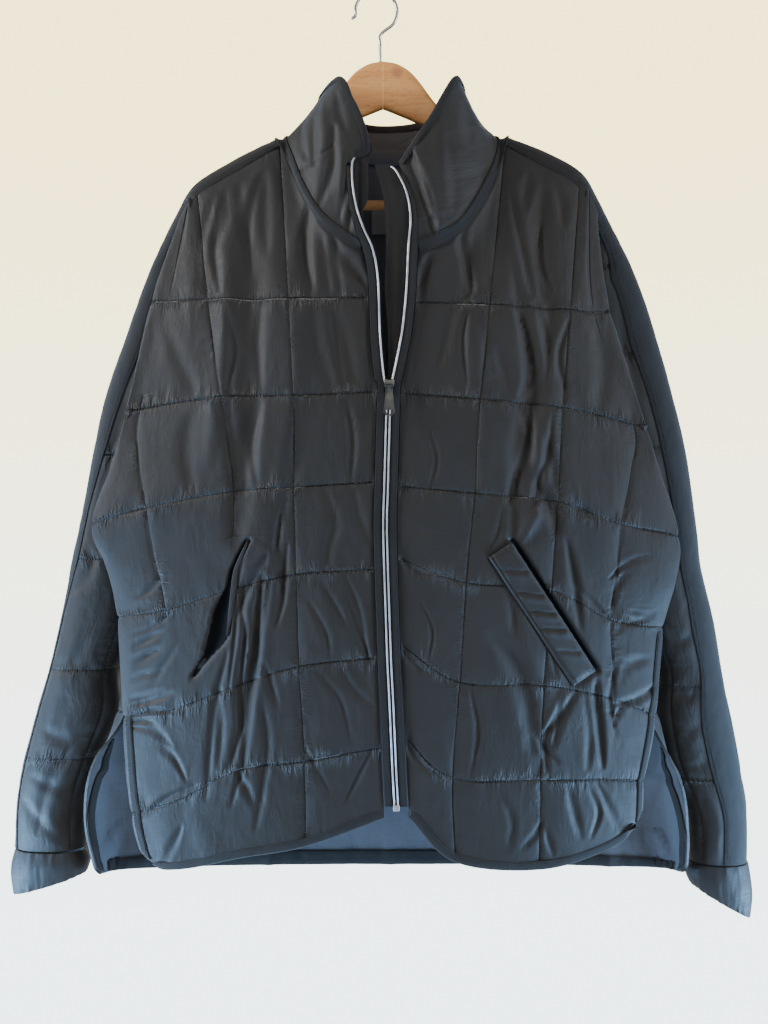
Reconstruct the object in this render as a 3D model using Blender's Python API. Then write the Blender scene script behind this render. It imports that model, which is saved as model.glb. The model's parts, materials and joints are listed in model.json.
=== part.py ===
"""A padded, quilted zip jacket hung on a wooden hanger, built piece by piece as it is cut and sewn.

Tables are in millimetres. x runs along the shoulders from the hook's stem, drop is the distance
below the datum level on that stem, and y runs from the front (-) to the back (+). Left is -x.
"""

import collections
import math

import bmesh
import bpy
import numpy as np

MM = 0.001
REST_X = -4.0  # where the hook rests, from the stem
REST_DROP = -17.5
SEAM_GAP = 0.4  # clear distance between neighbouring pieces
NUDGE = 0.01  # step, in table rows and columns, that normals are taken over
TAPE_CLEAR = 0.7  # tapes lie this far off the quilted cloth
BAND_CLEAR = 1.6

QUILTED = 3.0  # wall thicknesses
COLLAR_WALL = 3.6
TWILL = 1.6
BINDING = 1.5
ZIP_TAPE = 1.0
FACING = 1.2
LABEL = 1.0

BAND_WIDTH = 28.0
HEM_BINDING_WIDTH = 8.0
PLACKET_WIDTH = ((0, 3.0), (205, 3.0), (262, 7.5), (900, 7.5))  # drop, width
NECK_TAPE_WIDTH = 7.0
INNER_NECK_WIDTH = 17.0
WELT_WIDTH = 27.0
CASING_WIDTH = 12.0
HEM_ROW_HEIGHT = 60.0  # the last table row of a front or the back is about this tall
COLLAR_BINDING = 6.0
FOOT_CLEAR = 1.5  # the collar starts this far above the neckline

NYLON = (0.055, 0.058, 0.068)
TWILL_BLACK = (0.030, 0.031, 0.036)
ZIP_BLACK = (0.015, 0.015, 0.017)
COIL_SILVER = (0.72, 0.73, 0.76)
GUNMETAL = (0.10, 0.10, 0.11)
STEEL = (0.62, 0.62, 0.64)
BEECH = (0.78, 0.50, 0.29)
LABEL_GREY = (0.20, 0.21, 0.23)

# Neckline seam of the fronts, from the centre front up to the shoulder: x, drop, y.
NECK_LEFT = (
    (-19, 260, -51),
    (-39, 251, -50),
    (-59, 232, -44),
    (-77, 202, -32),
    (-90, 170, -20),
    (-102, 143, -12),
)
NECK_RIGHT = (
    (32, 262, -51),
    (58, 254, -50),
    (79, 239, -45),
    (99, 213, -35),
    (116.5, 178, -22),
    (127, 143, -12),
)
NECK_BACK = (
    (-102, 143, 12),
    (-80, 142, 29),
    (-40, 142, 42),
    (12, 142, 47),
    (62, 142, 42),
    (103, 142, 29),
    (127, 143, 12),
)

# Shoulder seam of a front or back from the neck out to the armhole: x, drop, y in front of the ridge.
SHOULDER_LEFT = (
    (-102, 143, 12),
    (-186, 193, 13),
    (-194, 202, 13),
    (-200.5, 213, 13),
    (-205, 221, 13),
)
SHOULDER_RIGHT = (
    (127, 143, 12),
    (203, 184, 13),
    (212, 194, 13),
    (218, 206, 13),
    (222, 215, 13),
)

# Fronts, one row for each quilted line: name, x at the zip edge, three quilted columns, side fold
# and side seam, drop at the first five, y at the zip edge, fold and seam.
FRONT_LEFT = (
    ("chest", (-7, -90, -171, -212, -229, -205), (308, 308, 307, 307, 306), (-52, -24, -9)),
    ("ribs", (-7, -85, -156, -240, -253, -223), (401, 404, 405, 415, 419), (-57, -27, -9)),
    ("fullest", (-7, -84, -149, -241, -267, -237), (446, 448, 452, 461, 467), (-59, -27, -9)),
    ("underarm", (-7, -84, -144, -232, -289, -250), (489, 494, 498, 514, 530), (-60, -25, -9)),
    ("tuck", (-7, -83, -144, -224, -275, -245), (530, 534, 543, 562, 572), (-61, -24, 13)),
    ("waist", (-6, -82, -145, -213, -264, -241), (574, 579, 594, 615, 624), (-61, -22, 3)),
    ("pocket", (-4, -79, -145, -210, -256, -257), (660, 669, 690, 715, 724), (-60, -22, -12)),
    ("hip", (-1, -74, -141, -198, -248, -246), (748, 762, 772, 803, 821), (-57, -24, -14)),
    ("hem", (3, -73, -138, -193, -234, -232), (817, 845, 858, 872, 877), (-53, -22, -14)),
)
FRONT_RIGHT = (
    ("chest", (34, 108, 189, 214, 231, 207), (312, 314, 317, 318, 316), (-52, -24, -9)),
    ("ribs", (20, 98, 180, 253, 265, 236), (402, 408, 415, 430, 432), (-57, -27, -9)),
    ("fullest", (18, 95, 177, 250, 282, 251), (446, 453, 461, 478, 482), (-59, -27, -9)),
    ("underarm", (17, 93, 175, 239, 300, 264), (493, 500, 508, 530, 542), (-60, -25, -9)),
    ("tuck", (18, 88, 171, 234, 297, 259), (530, 543, 552, 578, 586), (-61, -24, 13)),
    ("waist", (19, 84, 168, 229, 285, 255), (563, 587, 594, 625, 634), (-61, -22, 3)),
    ("pocket", (22, 78, 161, 232, 276, 272), (648, 684, 688, 704, 724), (-60, -22, -12)),
    ("hip", (25, 71, 158, 224, 264, 262), (739, 778, 781, 784, 788), (-57, -24, -14)),
    ("hem", (29, 74, 157, 223, 262, 260), (816, 860, 869, 855, 836), (-53, -22, -14)),
)

# Back, one row for each level: name, drop at the middle, left and right, x and y of the left seam and
# fold, x and y of the right fold and seam, y at the middle.
BACK = (
    ("chest", (306, 306, 306), ((-207, 33), (-226, 42)), ((228, 42), (209, 33)), 43),
    ("ribs", (405, 415, 420), ((-223, 43), (-248, 54)), ((260, 54), (236, 43)), 41),
    ("fullest", (450, 466, 472), ((-237, 44), (-260, 56)), ((274, 56), (251, 44)), 40),
    ("underarm", (495, 531, 541), ((-250, 44), (-272, 56)), ((287, 56), (264, 44)), 39),
    ("tuck", (540, 572, 584), ((-245, 20), (-256, 48)), ((272, 48), (259, 20)), 39),
    ("waist", (600, 624, 634), ((-241, 7), (-245, 28)), ((260, 28), (255, 7)), 39),
    ("pocket", (690, 722, 724), ((-260, -8), (-269, 9)), ((284, 9), (274, -8)), 39),
    ("vent", (765, 775, 790), ((-294, -9), (-276, 14)), ((291, 14), (307, -9)), 39),
    ("flare", (820, 832, 845), ((-303, -5), (-284, 20)), ((299, 20), (316, -5)), 39),
    ("hem", (891, 891, 889), ((-292, -4), (-274, 18)), ((297, 18), (315, -4)), 38),
)
BACK_QUARTER = (0.45, 0.8)  # quilted columns of the back, as shares of its half width

# Sleeves, one row for each level: drop, x at the outer and inner edge, y of the middle, half depth,
# and how far the section stays open towards the body (1 is the armhole, 0 a closed tube).
SLEEVE_LEFT = (
    (214, -208, -194, 0, 9, 1.0),
    (245, -225, -199, 4, 11, 1.0),
    (290, -245, -203, 11.5, 16, 1.0),
    (345, -266, -212, 17, 20, 1.0),
    (402, -285, -222, 18, 22, 1.0),
    (459, -297, -236, 18, 23, 1.0),
    (528, -310, -251, 18, 23, 1.0),
    (566, -318, -252, 18, 24, 0.0),
    (620, -329, -252, 20, 26, 0.0),
    (680, -343, -271.5, 21, 27, 0.0),
    (724, -356, -272, 21, 27, 0.0),
    (777, -370, -293, 22, 27, 0.0),
    (820, -377, -306, 22, 27, 0.0),
    (866, -379, -307, 21, 25, 0.0),
)
SLEEVE_RIGHT = (
    (208, 227, 213, 0, 9, 1.0),
    (245, 248, 214, 4.5, 11, 1.0),
    (290, 269, 210, 11.5, 16, 1.0),
    (345, 288, 215, 17, 20, 1.0),
    (402, 304, 234, 18, 22, 1.0),
    (459, 317, 248, 18, 23, 1.0),
    (538, 328, 265, 18, 23, 1.0),
    (576, 332, 266, 18, 24, 0.0),
    (632, 346, 268, 20, 26, 0.0),
    (680, 354, 287.5, 21, 27, 0.0),
    (724, 363, 286, 21, 27, 0.0),
    (777, 374, 296, 22, 27, 0.0),
    (830, 381, 318, 22, 27, 0.0),
    (880, 381, 323, 21, 25, 0.0),
)
SEWN_ROW = 7  # the sleeve's sides are sewn together from this row down

# Overarm bands: the ridge over each shoulder (x, drop, y), then how the band turns round the sleeve.
BAND_LEFT = ((-105.5, 135.5, 0), (-144, 154, 0), (-185, 178, 0), (-206, 200, 1))
BAND_RIGHT = ((129.5, 133.5, 0), (172, 150, 0), (204, 168, 0), (223, 191, 1))
BAND_ROLL_LEFT = (
    (0, 0),
    (245, -10),
    (290, -22),
    (345, -38),
    (402, -29),
    (447, -22),
    (516, -6),
    (566, -5),
    (619, 9),
    (900, 6),
)  # drop, degrees turned to the back
BAND_ROLL_RIGHT = (
    (0, 0),
    (245, -16),
    (290, -26),
    (345, -38),
    (459, -41),
    (610, -38),
    (740, -55),
    (900, -55),
)

# Cuffs: drop at the outer and inner edge, x at the outer and inner edge, half depth.
CUFF_LEFT = (
    (868, 868, -381, -306, 26),
    (890, 878, -384, -304, 27),
    (915, 893, -383, -306, 24),
)
CUFF_RIGHT = (
    (882, 882, 384, 322, 26),
    (914, 892, 387, 320, 27),
    (940, 906, 386, 324, 24),
)

# Collar: foot and top of each station and how far it bulges from the neck, from the left zip edge
# round the back to the right zip edge.
COLLAR = (
    ((-21, 258, -52), (-34, 166, -44), 5),
    ((-56, 232, -46), (-31, 139, -45), 3),
    ((-77, 200, -35), (-33, 108, -40), 3),
    ((-90, 168, -21), (-41, 83, -30), 1),
    ((-101, 138, 0), (-60, 91, 0), -3),
    ((-80, 139, 29), (-50, 97, 32), 3),
    ((-40, 139, 43), (-16, 105, 46), 2),
    ((12, 139, 48), (14, 106, 49), 2),
    ((62, 139, 43), (42, 103, 46), 2),
    ((103, 139, 29), (68, 96, 32), 3),
    ((125, 138, 0), (84, 93, 0), -5),
    ((115, 176, -22), (76, 83, -31), 0),
    ((79, 237, -46), (51, 126, -44), 3),
    ((38, 259, -52), (27, 172, -41), 5),
)
NECK_AXIS = (12, 0, -2)

# Zip edges from the collar down to the slider, then the closed zip down to the hem: x, drop, y.
ZIP_LEFT = (
    (-28, 168, -47),
    (-27, 196, -52),
    (-23, 220, -54),
    (-16, 241, -55),
    (-7, 262, -56),
    (-2, 292, -56),
    (0, 346, -58),
    (4, 388, -60),
)
ZIP_RIGHT = (
    (14, 176, -45),
    (26, 204, -51),
    (30, 230, -54),
    (28, 258, -55),
    (26, 299, -56),
    (24, 322, -57),
    (21, 346, -58),
    (12.5, 388, -60),
)
ZIP_CLOSED = (
    (9, 392, -60),
    (8, 423, -61),
    (6, 494, -62),
    (5, 536, -63),
    (7, 604, -63),
    (9, 662, -62),
    (11, 701, -61),
    (14, 769, -58),
    (16, 806, -55),
)
# Twill facings behind the zip: drop, x of the left and right edge, y of the face.
FACING_LEFT = (
    (133, -28.5, -21.5, -41.5),
    (147, -28.5, -14.5, -42.5),
    (160, -28, -7, -43),
    (169, -28, -11, -43.5),
    (190, -27.5, -11.5, -47),
    (211, -25, -12, -50),
    (226, -21, -17.5, -51),
    (245, -14.5, -12.5, -52),
)
FACING_RIGHT = (
    (174, -5, 12, -41.5),
    (190, -1, 21, -45),
    (206, 3, 27, -48),
    (230, 5, 31.5, -50.5),
    (255, 6, 30, -51.5),
    (300, 5, 28, -52.5),
    (346, 8, 23, -54.5),
    (388, 7.5, 15, -56.5),
    (430, 1, 14, -57.5),
    (494, -1, 13, -58.5),
    (604, 0, 14, -59.5),
    (662, 2, 16, -58.5),
    (701, 4, 18, -57.5),
    (769, 7, 21, -54.5),
    (806, 9, 23, -51.5),
)
INNER_NECK = (1.7, 4.3)  # ends of the inner neck tape, in places of the back neckline
COIL_WIDTH = 2.6
CHAIN_WIDTH = 6.6
COIL_HEIGHT = 1.6
TAPE_BEHIND = 1.9  # the zip tape lies this far behind its coil

SLIDER_TOP = 389.0
SLIDER_LENGTH = 12.0
SLIDER_WIDTH = (10.0, 7.6)
SLIDER_HEIGHT = 4.2
PULL_LENGTH = 29.0
PULL_WIDTH = (7.0, 11.0)
PULL_THICKNESS = 1.4
PULL_HOLE = (5.5, 5.0)
PULL_PIN_RADIUS = 0.9
RETAINER = (6.4, 6.0, 2.8)

# Pocket welts: x and drop of the middle of the upper and lower end.
WELT_LEFT = ((-114, 549), (-174, 683))
WELT_RIGHT = ((117, 555), (201, 682))
WELT_THICKNESS = 3.0

LABEL_SIZE = (30.0, 30.0)
LABEL_TOP = (6.0, 193.0)

# Hanger: distance from the stem, drop of the upper and lower edge, half thickness.
HANGER_MIDDLE = 3.0
HANGER_ARM = (
    (0.3, 56.0, 104.0, 6.5),
    (14.0, 58.5, 109.5, 6.5),
    (27.0, 66.0, 115.0, 6.5),
    (38.0, 78.0, 120.0, 6.5),
    (52.0, 97.0, 126.0, 6.5),
    (70.0, 117.0, 137.0, 6.5),
    (98.0, 146.0, 163.0, 6.0),
    (140.0, 167.0, 186.0, 6.0),
    (178.0, 190.0, 206.0, 5.0),
    (188.0, 198.0, 208.0, 3.5),
)
BAR_DROP = 203.0
BAR_RADIUS = 5.0
BAR_ENDS = (-154.0, 160.0)
HOOK_WIRE = 1.6
HOOK_RING = (-4.0, 4.0, 21.5)  # middle of the ring and the radius of the wire's centre line
HOOK_STEM = (55.5, 24.0)
HOOK_TIP_ANGLE = 190.0
HOOK_BALL = 2.6


# What each side is made from, looking at the front; the sign is that side's x direction.
Side = collections.namedtuple("Side", "name sign neck shoulder front zip facing sleeve ridge roll cuff welt")
SIDES = (
    Side(
        name="left",
        sign=-1,
        neck=NECK_LEFT,
        shoulder=SHOULDER_LEFT,
        front=FRONT_LEFT,
        zip=ZIP_LEFT,
        facing=FACING_LEFT,
        sleeve=SLEEVE_LEFT,
        ridge=BAND_LEFT,
        roll=BAND_ROLL_LEFT,
        cuff=CUFF_LEFT,
        welt=WELT_LEFT,
    ),
    Side(
        name="right",
        sign=1,
        neck=NECK_RIGHT,
        shoulder=SHOULDER_RIGHT,
        front=FRONT_RIGHT,
        zip=ZIP_RIGHT,
        facing=FACING_RIGHT,
        sleeve=SLEEVE_RIGHT,
        ridge=BAND_RIGHT,
        roll=BAND_ROLL_RIGHT,
        cuff=CUFF_RIGHT,
        welt=WELT_RIGHT,
    ),
)


def frame(points):
    """Table millimetres (x, drop, y) to metres in the part's frame."""
    points = np.asarray(points, float)
    x, drop, y = points[..., 0], points[..., 1], points[..., 2]
    return MM * np.stack([x - REST_X, y, REST_DROP - drop], axis=-1)


def spline(points, at):
    """Points of a smooth curve through all the given ones, at the given fractional indices."""
    points = np.asarray(points, float)
    last = len(points) - 1
    padded = np.concatenate([[2 * points[0] - points[1]], points, [2 * points[-1] - points[-2]]])
    at = np.clip(np.asarray(at, float), 0, last)
    index = np.minimum(at.astype(int), last - 1)
    t = (at - index).reshape((-1,) + (1,) * (points.ndim - 1))
    a, b, c, d = (padded[index + step] for step in range(4))
    return 0.5 * (2 * b + (c - a) * t + (2 * a - 5 * b + 4 * c - d) * t**2 + (3 * b - a - 3 * c + d) * t**3)


def net(rows, rows_at, columns_at):
    """A grid of points on the smooth surface through a table of rows of points."""
    across = np.stack([row(columns_at) if callable(row) else spline(row, columns_at) for row in rows])
    return spline(across, rows_at)


def normals(grid, sewn=None):
    """Unit normals of a grid whose side columns are one from row sewn down."""
    along = np.gradient(grid, axis=0)
    across = np.gradient(grid, axis=1)
    if sewn is not None:
        turn = grid[sewn:, 1] - grid[sewn:, -2]
        across[sewn:, 0] = turn
        across[sewn:, -1] = turn
    normal = np.cross(across, along)
    return normal / np.linalg.norm(normal, axis=-1, keepdims=True)


def surface_normals(surface, rows_at, columns_at):
    """Unit normals of a surface given as a function, by small steps along and across it."""
    rows_at, columns_at = np.asarray(rows_at, float), np.asarray(columns_at, float)
    along = surface(rows_at + NUDGE, columns_at) - surface(rows_at - NUDGE, columns_at)
    across = surface(rows_at, columns_at + NUDGE) - surface(rows_at, columns_at - NUDGE)
    normal = np.cross(across, along)
    return normal / np.linalg.norm(normal, axis=-1, keepdims=True)


def material(name, colour, roughness, metallic=0.0):
    made = bpy.data.materials.get(name) or bpy.data.materials.new(name)
    made.use_nodes = True
    shader = made.node_tree.nodes["Principled BSDF"]
    shader.inputs["Base Color"].default_value = (*colour, 1.0)
    shader.inputs["Roughness"].default_value = roughness
    shader.inputs["Metallic"].default_value = metallic
    return made


def finish(name, shape, surface, origin=(0.0, 0.0, 0.0)):
    """Turns a bmesh in world metres into a named object whose origin is where it is given."""
    bmesh.ops.recalc_face_normals(shape, faces=shape.faces)
    bmesh.ops.translate(shape, verts=shape.verts, vec=[-value for value in origin])
    mesh = bpy.data.meshes.new(name)
    shape.to_mesh(mesh)
    shape.free()
    mesh.shade_smooth()
    mesh.set_sharp_from_angle(angle=math.radians(40))
    mesh.materials.append(surface)
    made = bpy.data.objects.new(name, mesh)
    made.location = origin
    bpy.context.scene.collection.objects.link(made)
    return made


def wall(name, face, back, surface, sewn=None):
    """A closed wall between two grids; from row sewn down its side columns are joined in a tube."""
    rows, columns = face.shape[:2]
    shape = bmesh.new()
    points = {}
    for side, grid in enumerate((frame(face), frame(back))):
        for row in range(rows):
            joined = sewn is not None and row >= sewn
            for column in range(columns - joined):
                points[side, row, column] = shape.verts.new(grid[row, column])
            if joined:
                points[side, row, columns - 1] = points[side, row, 0]

    def quad(*corners):
        shape.faces.new([points[corner] for corner in corners])

    for row in range(rows - 1):
        for column in range(columns - 1):
            for side in (0, 1):
                quad(
                    (side, row, column),
                    (side, row, column + 1),
                    (side, row + 1, column + 1),
                    (side, row + 1, column),
                )
    for row in (0, rows - 1):
        for column in range(columns - 1):
            quad((0, row, column), (0, row, column + 1), (1, row, column + 1), (1, row, column))
    for row in range((rows if sewn is None else sewn + 1) - 1):
        for column in (0, columns - 1):
            quad((0, row, column), (0, row + 1, column), (1, row + 1, column), (1, row, column))
    return finish(name, shape, surface)


def cloth(name, grid, thickness, surface, outward=1, lift=0.0, sewn=None):
    """A wall whose face is the grid moved out by lift, with its thickness behind it."""
    out = outward * normals(grid, sewn)
    return wall(name, grid + out * lift, grid + out * (lift - thickness), surface, sewn)


def patch(name, surface, rows_at, columns_at, thickness, finish_with, outward=1, lift=0.0):
    """A wall on part of a panel's surface, moved out by lift."""
    grid = surface(rows_at, columns_at)
    out = outward * surface_normals(surface, rows_at, columns_at)
    return wall(name, grid + out * lift, grid + out * (lift - thickness), finish_with)


def top_row(neck, shoulder, side):
    """The upper edge of a front: the neckline as far as the first column, then the shoulder."""
    ridge = [(x, drop, side * y) for x, drop, y in shoulder]

    def row(columns_at):
        near = np.clip(columns_at, 0, 1) * (len(neck) - 1)
        far = np.clip(np.asarray(columns_at) - 1, 0, None)
        return np.where((np.asarray(columns_at) <= 1)[:, None], spline(neck, near), spline(ridge, far))

    return row


def front_row(xs, drops, depths):
    """One quilted line of a front as points: nearly flat in the middle, rounding to the side fold."""
    centre, fold, seam = depths
    share = (np.array(xs[:5]) - xs[0]) / (xs[4] - xs[0])
    depth = centre + (fold - centre) * share**3
    return list(zip(xs, (*drops, drops[-1]), (*depth, seam)))


def front_net(neck, shoulder, table, rows_at, columns_at):
    rows = [top_row(neck, shoulder, -1)]
    rows += [front_row(xs, drops, depths) for _, xs, drops, depths in table]
    return net(rows, rows_at, columns_at)


def back_top(columns_at):
    """The upper edge of the back: both shoulders with the neckline between them."""
    outer = [SHOULDER_LEFT[index] for index in (4, 3, 1, 0)]
    far = [SHOULDER_RIGHT[index] for index in (0, 1, 3, 4)]
    found = []
    for column in columns_at:
        if column <= 3:
            found.append(spline(outer, [column])[0])
        elif column < 5:
            found.append(spline(NECK_BACK, [(column - 3) / 2 * (len(NECK_BACK) - 1)])[0])
        else:
            found.append(spline(far, [column - 5])[0])
    return np.array(found)


def back_row(drops, left, right, middle_depth):
    """One level of the back from its left seam to its right seam."""
    (seam_left, fold_left), (fold_right, seam_right) = left, right
    middle = (fold_left[0] + fold_right[0]) / 2
    points = [(seam_left[0], drops[1], seam_left[1]), (fold_left[0], drops[1], fold_left[1])]
    for share in (-BACK_QUARTER[1], -BACK_QUARTER[0], 0.0, BACK_QUARTER[0], BACK_QUARTER[1]):
        fold, side_drop = (fold_left, drops[1]) if share < 0 else (fold_right, drops[2])
        drop = drops[0] + (side_drop - drops[0]) * share**2
        depth = middle_depth + (fold[1] - middle_depth) * abs(share) ** 3
        points.append((middle + (fold[0] - middle) * abs(share), drop, depth))
    points += [(fold_right[0], drops[2], fold_right[1]), (seam_right[0], drops[2], seam_right[1])]
    return points


def back_net(rows_at, columns_at):
    rows = [back_top] + [back_row(drops, left, right, depth) for _, drops, left, right, depth in BACK]
    return net(rows, rows_at, columns_at)


def sleeve_section(row, turn):
    """Points of a sleeve's section at the given angles: 0 is the outer edge, half a turn the inner."""
    drop, outer, inner, middle, half, opened = row
    turn = np.asarray(turn, float)
    x = outer + (inner - outer) * (1 - np.cos(turn)) / 2
    bulge = np.sign(turn) * np.abs(np.sin(turn)) ** 0.8
    held = np.where(np.abs(turn) > math.pi / 2, np.sign(turn), bulge)
    y = middle + half * (bulge + (held - bulge) * opened)
    return np.stack([x, np.full_like(x, drop), y], axis=-1)


def sleeve_grid(table, turn):
    return np.stack([sleeve_section(row, turn) for row in table])


def band_grid(ridge, table, roll, columns=5):
    """The overarm band's underside: an arch over the shoulder, then the outer edge of the sleeve."""
    across = np.linspace(-1, 1, columns)
    path = spline(ridge, np.arange(0, len(ridge) - 0.9, 0.5))
    rows = []
    way = np.gradient(path, axis=0)
    for point, heading in zip(path, way):
        inward = np.array([-heading[1], heading[0], 0.0]) * np.sign(heading[0])
        inward /= np.linalg.norm(inward)
        angle = across * math.radians(60)
        reach = BAND_WIDTH / 2 / math.radians(60)
        drop_in = (reach * (1 - np.cos(angle)) + TWILL + BAND_CLEAR)[:, None]
        rows.append(point + inward * drop_in + np.outer(reach * np.sin(angle), (0, 0, 1)))
    for row in table[1:]:
        reach = math.asin(min(0.93, BAND_WIDTH / 2 / row[4]))
        turned = math.radians(np.interp(row[0], *zip(*roll)))
        rows.append(sleeve_section(row, across * reach + turned))
    return np.stack(rows)


FRONT_ROWS_AT = (0, 0.5, 1, 1.5, 2, 3, 3.5, 4, 4.5, 5, 5.5, 6, 6.5, 7, 7.5, 8, 8.5, 9)
FRONT_COLUMNS_AT = (0, 0.25, 0.5, 0.75, 1, 1.5, 2, 3, 3.4, 3.7, 3.9, 4.1, 4.4, 4.7, 5)
BACK_ROWS_AT = (0, 0.5, 1, 1.5, 2, 3, 4, 4.5, 5, 5.5, 6, 6.5, 7, 7.5, 8, 8.5, 9, 9.5, 10)
BACK_COLUMNS_AT = (0, 0.35, 0.7, 1, 1.4, 2, 3, 3.5, 4, 4.5, 5, 6, 6.6, 7, 7.3, 7.65, 8)
SLEEVE_TURN = np.linspace(-math.pi, math.pi, 19)


def placket_width(drop):
    return np.interp(drop, *zip(*PLACKET_WIDTH))


def zip_side(edge, sign, open_offset, closed_offset):
    """A line beside the zip, open above the slider and closed below, offset outwards."""
    upper = [(x + sign * open_offset, drop, y) for x, drop, y in edge]
    lower = [(x + sign * closed_offset, drop, y) for x, drop, y in ZIP_CLOSED]
    return np.array(upper + lower)


def zip_strip(line, width_at, sign, first=0.0, last=None):
    """A strip outwards from a line beside the zip, as wide as the function of drop says."""
    last = len(line) - 1 if last is None else last
    path = spline(line, [first, *range(math.floor(first) + 1, math.ceil(last)), last])
    other = path.copy()
    other[:, 0] += sign * width_at(path[:, 1])
    return np.stack([path, other], axis=1)


def placket_edge(edge, sign):
    """The outer line of a placket strip with the seam gap beyond it."""
    line = zip_side(edge, sign, COIL_WIDTH / 2 + 3 * SEAM_GAP, CHAIN_WIDTH / 2 + 3 * SEAM_GAP)
    line = spline(line, np.linspace(0, len(line) - 1, 6 * len(line)))
    line[:, 0] += sign * placket_width(line[:, 1])
    return line


def zip_shift(column, edge, sign):
    """How far each point of a column of a panel moves to lie on the placket's outer line."""
    line = placket_edge(edge, sign)
    return np.interp(column[:, 1], line[:, 1], line[:, 0]) - column[:, 0]


def lie_on(surface, columns, x, drop):
    """Points and outward normals of a panel's surface at places given by x and drop."""
    dense = surface(np.linspace(0, 9, 181), columns)
    out = normals(dense).reshape(-1, 3)
    flat = dense.reshape(-1, 3)
    found = [int(np.argmin((flat[:, 0] - a) ** 2 + (flat[:, 1] - b) ** 2)) for a, b in zip(x, drop)]
    return flat[found], out[found]


def solid(name, rings, surface, origin=(0.0, 0.0, 0.0)):
    """A closed solid through rings of points in metres, capped at both ends."""
    shape = bmesh.new()
    made = [[shape.verts.new(point) for point in ring] for ring in rings]
    count = len(made[0])
    for lower, upper in zip(made, made[1:]):
        for index in range(count):
            after = (index + 1) % count
            shape.faces.new((lower[index], lower[after], upper[after], upper[index]))
    shape.faces.new(made[0])
    shape.faces.new(made[-1])
    return finish(name, shape, surface, origin)


def box(name, low, high, surface):
    """A box between two corners given as x, drop and y."""
    (x0, drop0, y0), (x1, drop1, y1) = low, high
    ring = ((x0, y0), (x1, y0), (x1, y1), (x0, y1))
    rings = [[frame((x, drop, y)) for x, y in ring] for drop in (drop0, drop1)]
    return solid(name, rings, surface)


def combine(target, tool, operation):
    """Joins or cuts one object with another, which is then only a guide."""
    change = target.modifiers.new(f"{operation.lower()} {tool.name}", "BOOLEAN")
    change.operation = operation
    change.solver = "EXACT"
    change.object = tool
    tool.hide_render = True
    tool.display_type = "WIRE"


def front(name, neck, shoulder, table, zip_edge, outward):
    """A front panel with the edges that its tapes need, and its outer surface for what lies on it."""

    def surface(rows_at, columns_at):
        grid = front_net(neck, shoulder, table, rows_at, columns_at)
        zip_column = front_net(neck, shoulder, table, rows_at, (0,))[:, 0]
        fade = np.clip(1 - np.asarray(columns_at), 0, 1)
        grid[:, :, 0] += np.outer(zip_shift(zip_column, zip_edge, -outward), fade)
        return grid

    nylon = material("quilted nylon", NYLON, 0.55)
    patch(name, surface, FRONT_ROWS_AT, FRONT_COLUMNS_AT, QUILTED, nylon, outward)
    return surface


def welt(name, surface, ends, outward):
    """A padded pocket welt lying slanted on a front, of one width."""
    (x0, drop0), (x1, drop1) = ends
    along = np.array([x1 - x0, drop1 - drop0])
    along = along / np.linalg.norm(along)
    steps = np.linspace(-WELT_WIDTH / 2, WELT_WIDTH / 2, 4)
    columns = np.linspace(0, 4, 161)
    grid, lifts = [], []
    for share in np.linspace(0, 1, 7):
        x = x0 + (x1 - x0) * share - steps * along[1] * outward
        drop = drop0 + (drop1 - drop0) * share + steps * along[0] * outward
        points, out = lie_on(surface, columns, x, drop)
        grid.append(np.stack([x, drop, points[:, 2]], axis=-1))
        lifts.append(out * outward)
    grid, lifts = np.array(grid), np.array(lifts)
    nylon = material("quilted nylon", NYLON, 0.55)
    low = TAPE_CLEAR + 0.3
    wall(name, grid + lifts * (low + WELT_THICKNESS), grid + lifts * low, nylon)


def edge_tapes(side, surface, outward):
    """The hem binding of a front, and its twill tape down the side seam and the vent."""
    twill = material("black twill", TWILL_BLACK, 0.8)
    drop_share = HEM_BINDING_WIDTH / HEM_ROW_HEIGHT
    hem_columns = (0, 0.5, 1, 1.5, 2, 3, 3.4, 3.7, 3.9, 4.0)
    lift = TAPE_CLEAR + BINDING
    hem_rows = (9 - drop_share, 9 - drop_share / 2, 9)
    patch(f"hem_binding_{side}", surface, hem_rows, hem_columns, BINDING, twill, outward, lift)
    tape_rows = (6.2, 6.5, 7, 7.5, 8, 8.5, 9 - drop_share - 0.03)
    patch(f"side_tape_{side}", surface, tape_rows, (3.7, 3.85, 4.0), BINDING, twill, outward, lift)


def zip_half(side, edge, sign):
    """Placket strip, zip tape and open coil of one side."""
    outward = -sign
    twill = material("black twill", TWILL_BLACK, 0.8)
    tape_black = material("zip tape", ZIP_BLACK, 0.7)
    silver = material("silver coil", COIL_SILVER, 0.35, 0.6)
    placket = zip_side(edge, sign, COIL_WIDTH / 2 + SEAM_GAP, CHAIN_WIDTH / 2 + SEAM_GAP)
    cloth(f"placket_{side}", zip_strip(placket, placket_width, sign, 0.1), TWILL, twill, outward)
    inner = zip_side(edge, sign, -COIL_WIDTH / 2, SEAM_GAP / 2)
    tape = zip_strip(inner, lambda drop: placket_width(drop) + COIL_WIDTH - 0.8, sign, 0.1)
    cloth(f"zip_tape_{side}", tape, ZIP_TAPE, tape_black, outward, -TAPE_BEHIND)
    coil = zip_strip(np.array(edge) + (-sign * COIL_WIDTH / 2, 0, 0), lambda drop: COIL_WIDTH, sign)
    cloth(f"coil_{side}", coil, COIL_HEIGHT, silver, outward)


def facing(side, table):
    """A flat twill strip behind the zip edge of one side."""
    rows = [[(left, drop, y), (right, drop, y)] for drop, left, right, y in table]
    path = spline(rows, np.arange(0, len(rows) - 0.9, 0.5))
    cloth(f"zip_facing_{side}", path, FACING, material("black twill", TWILL_BLACK, 0.8), -1)


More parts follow.
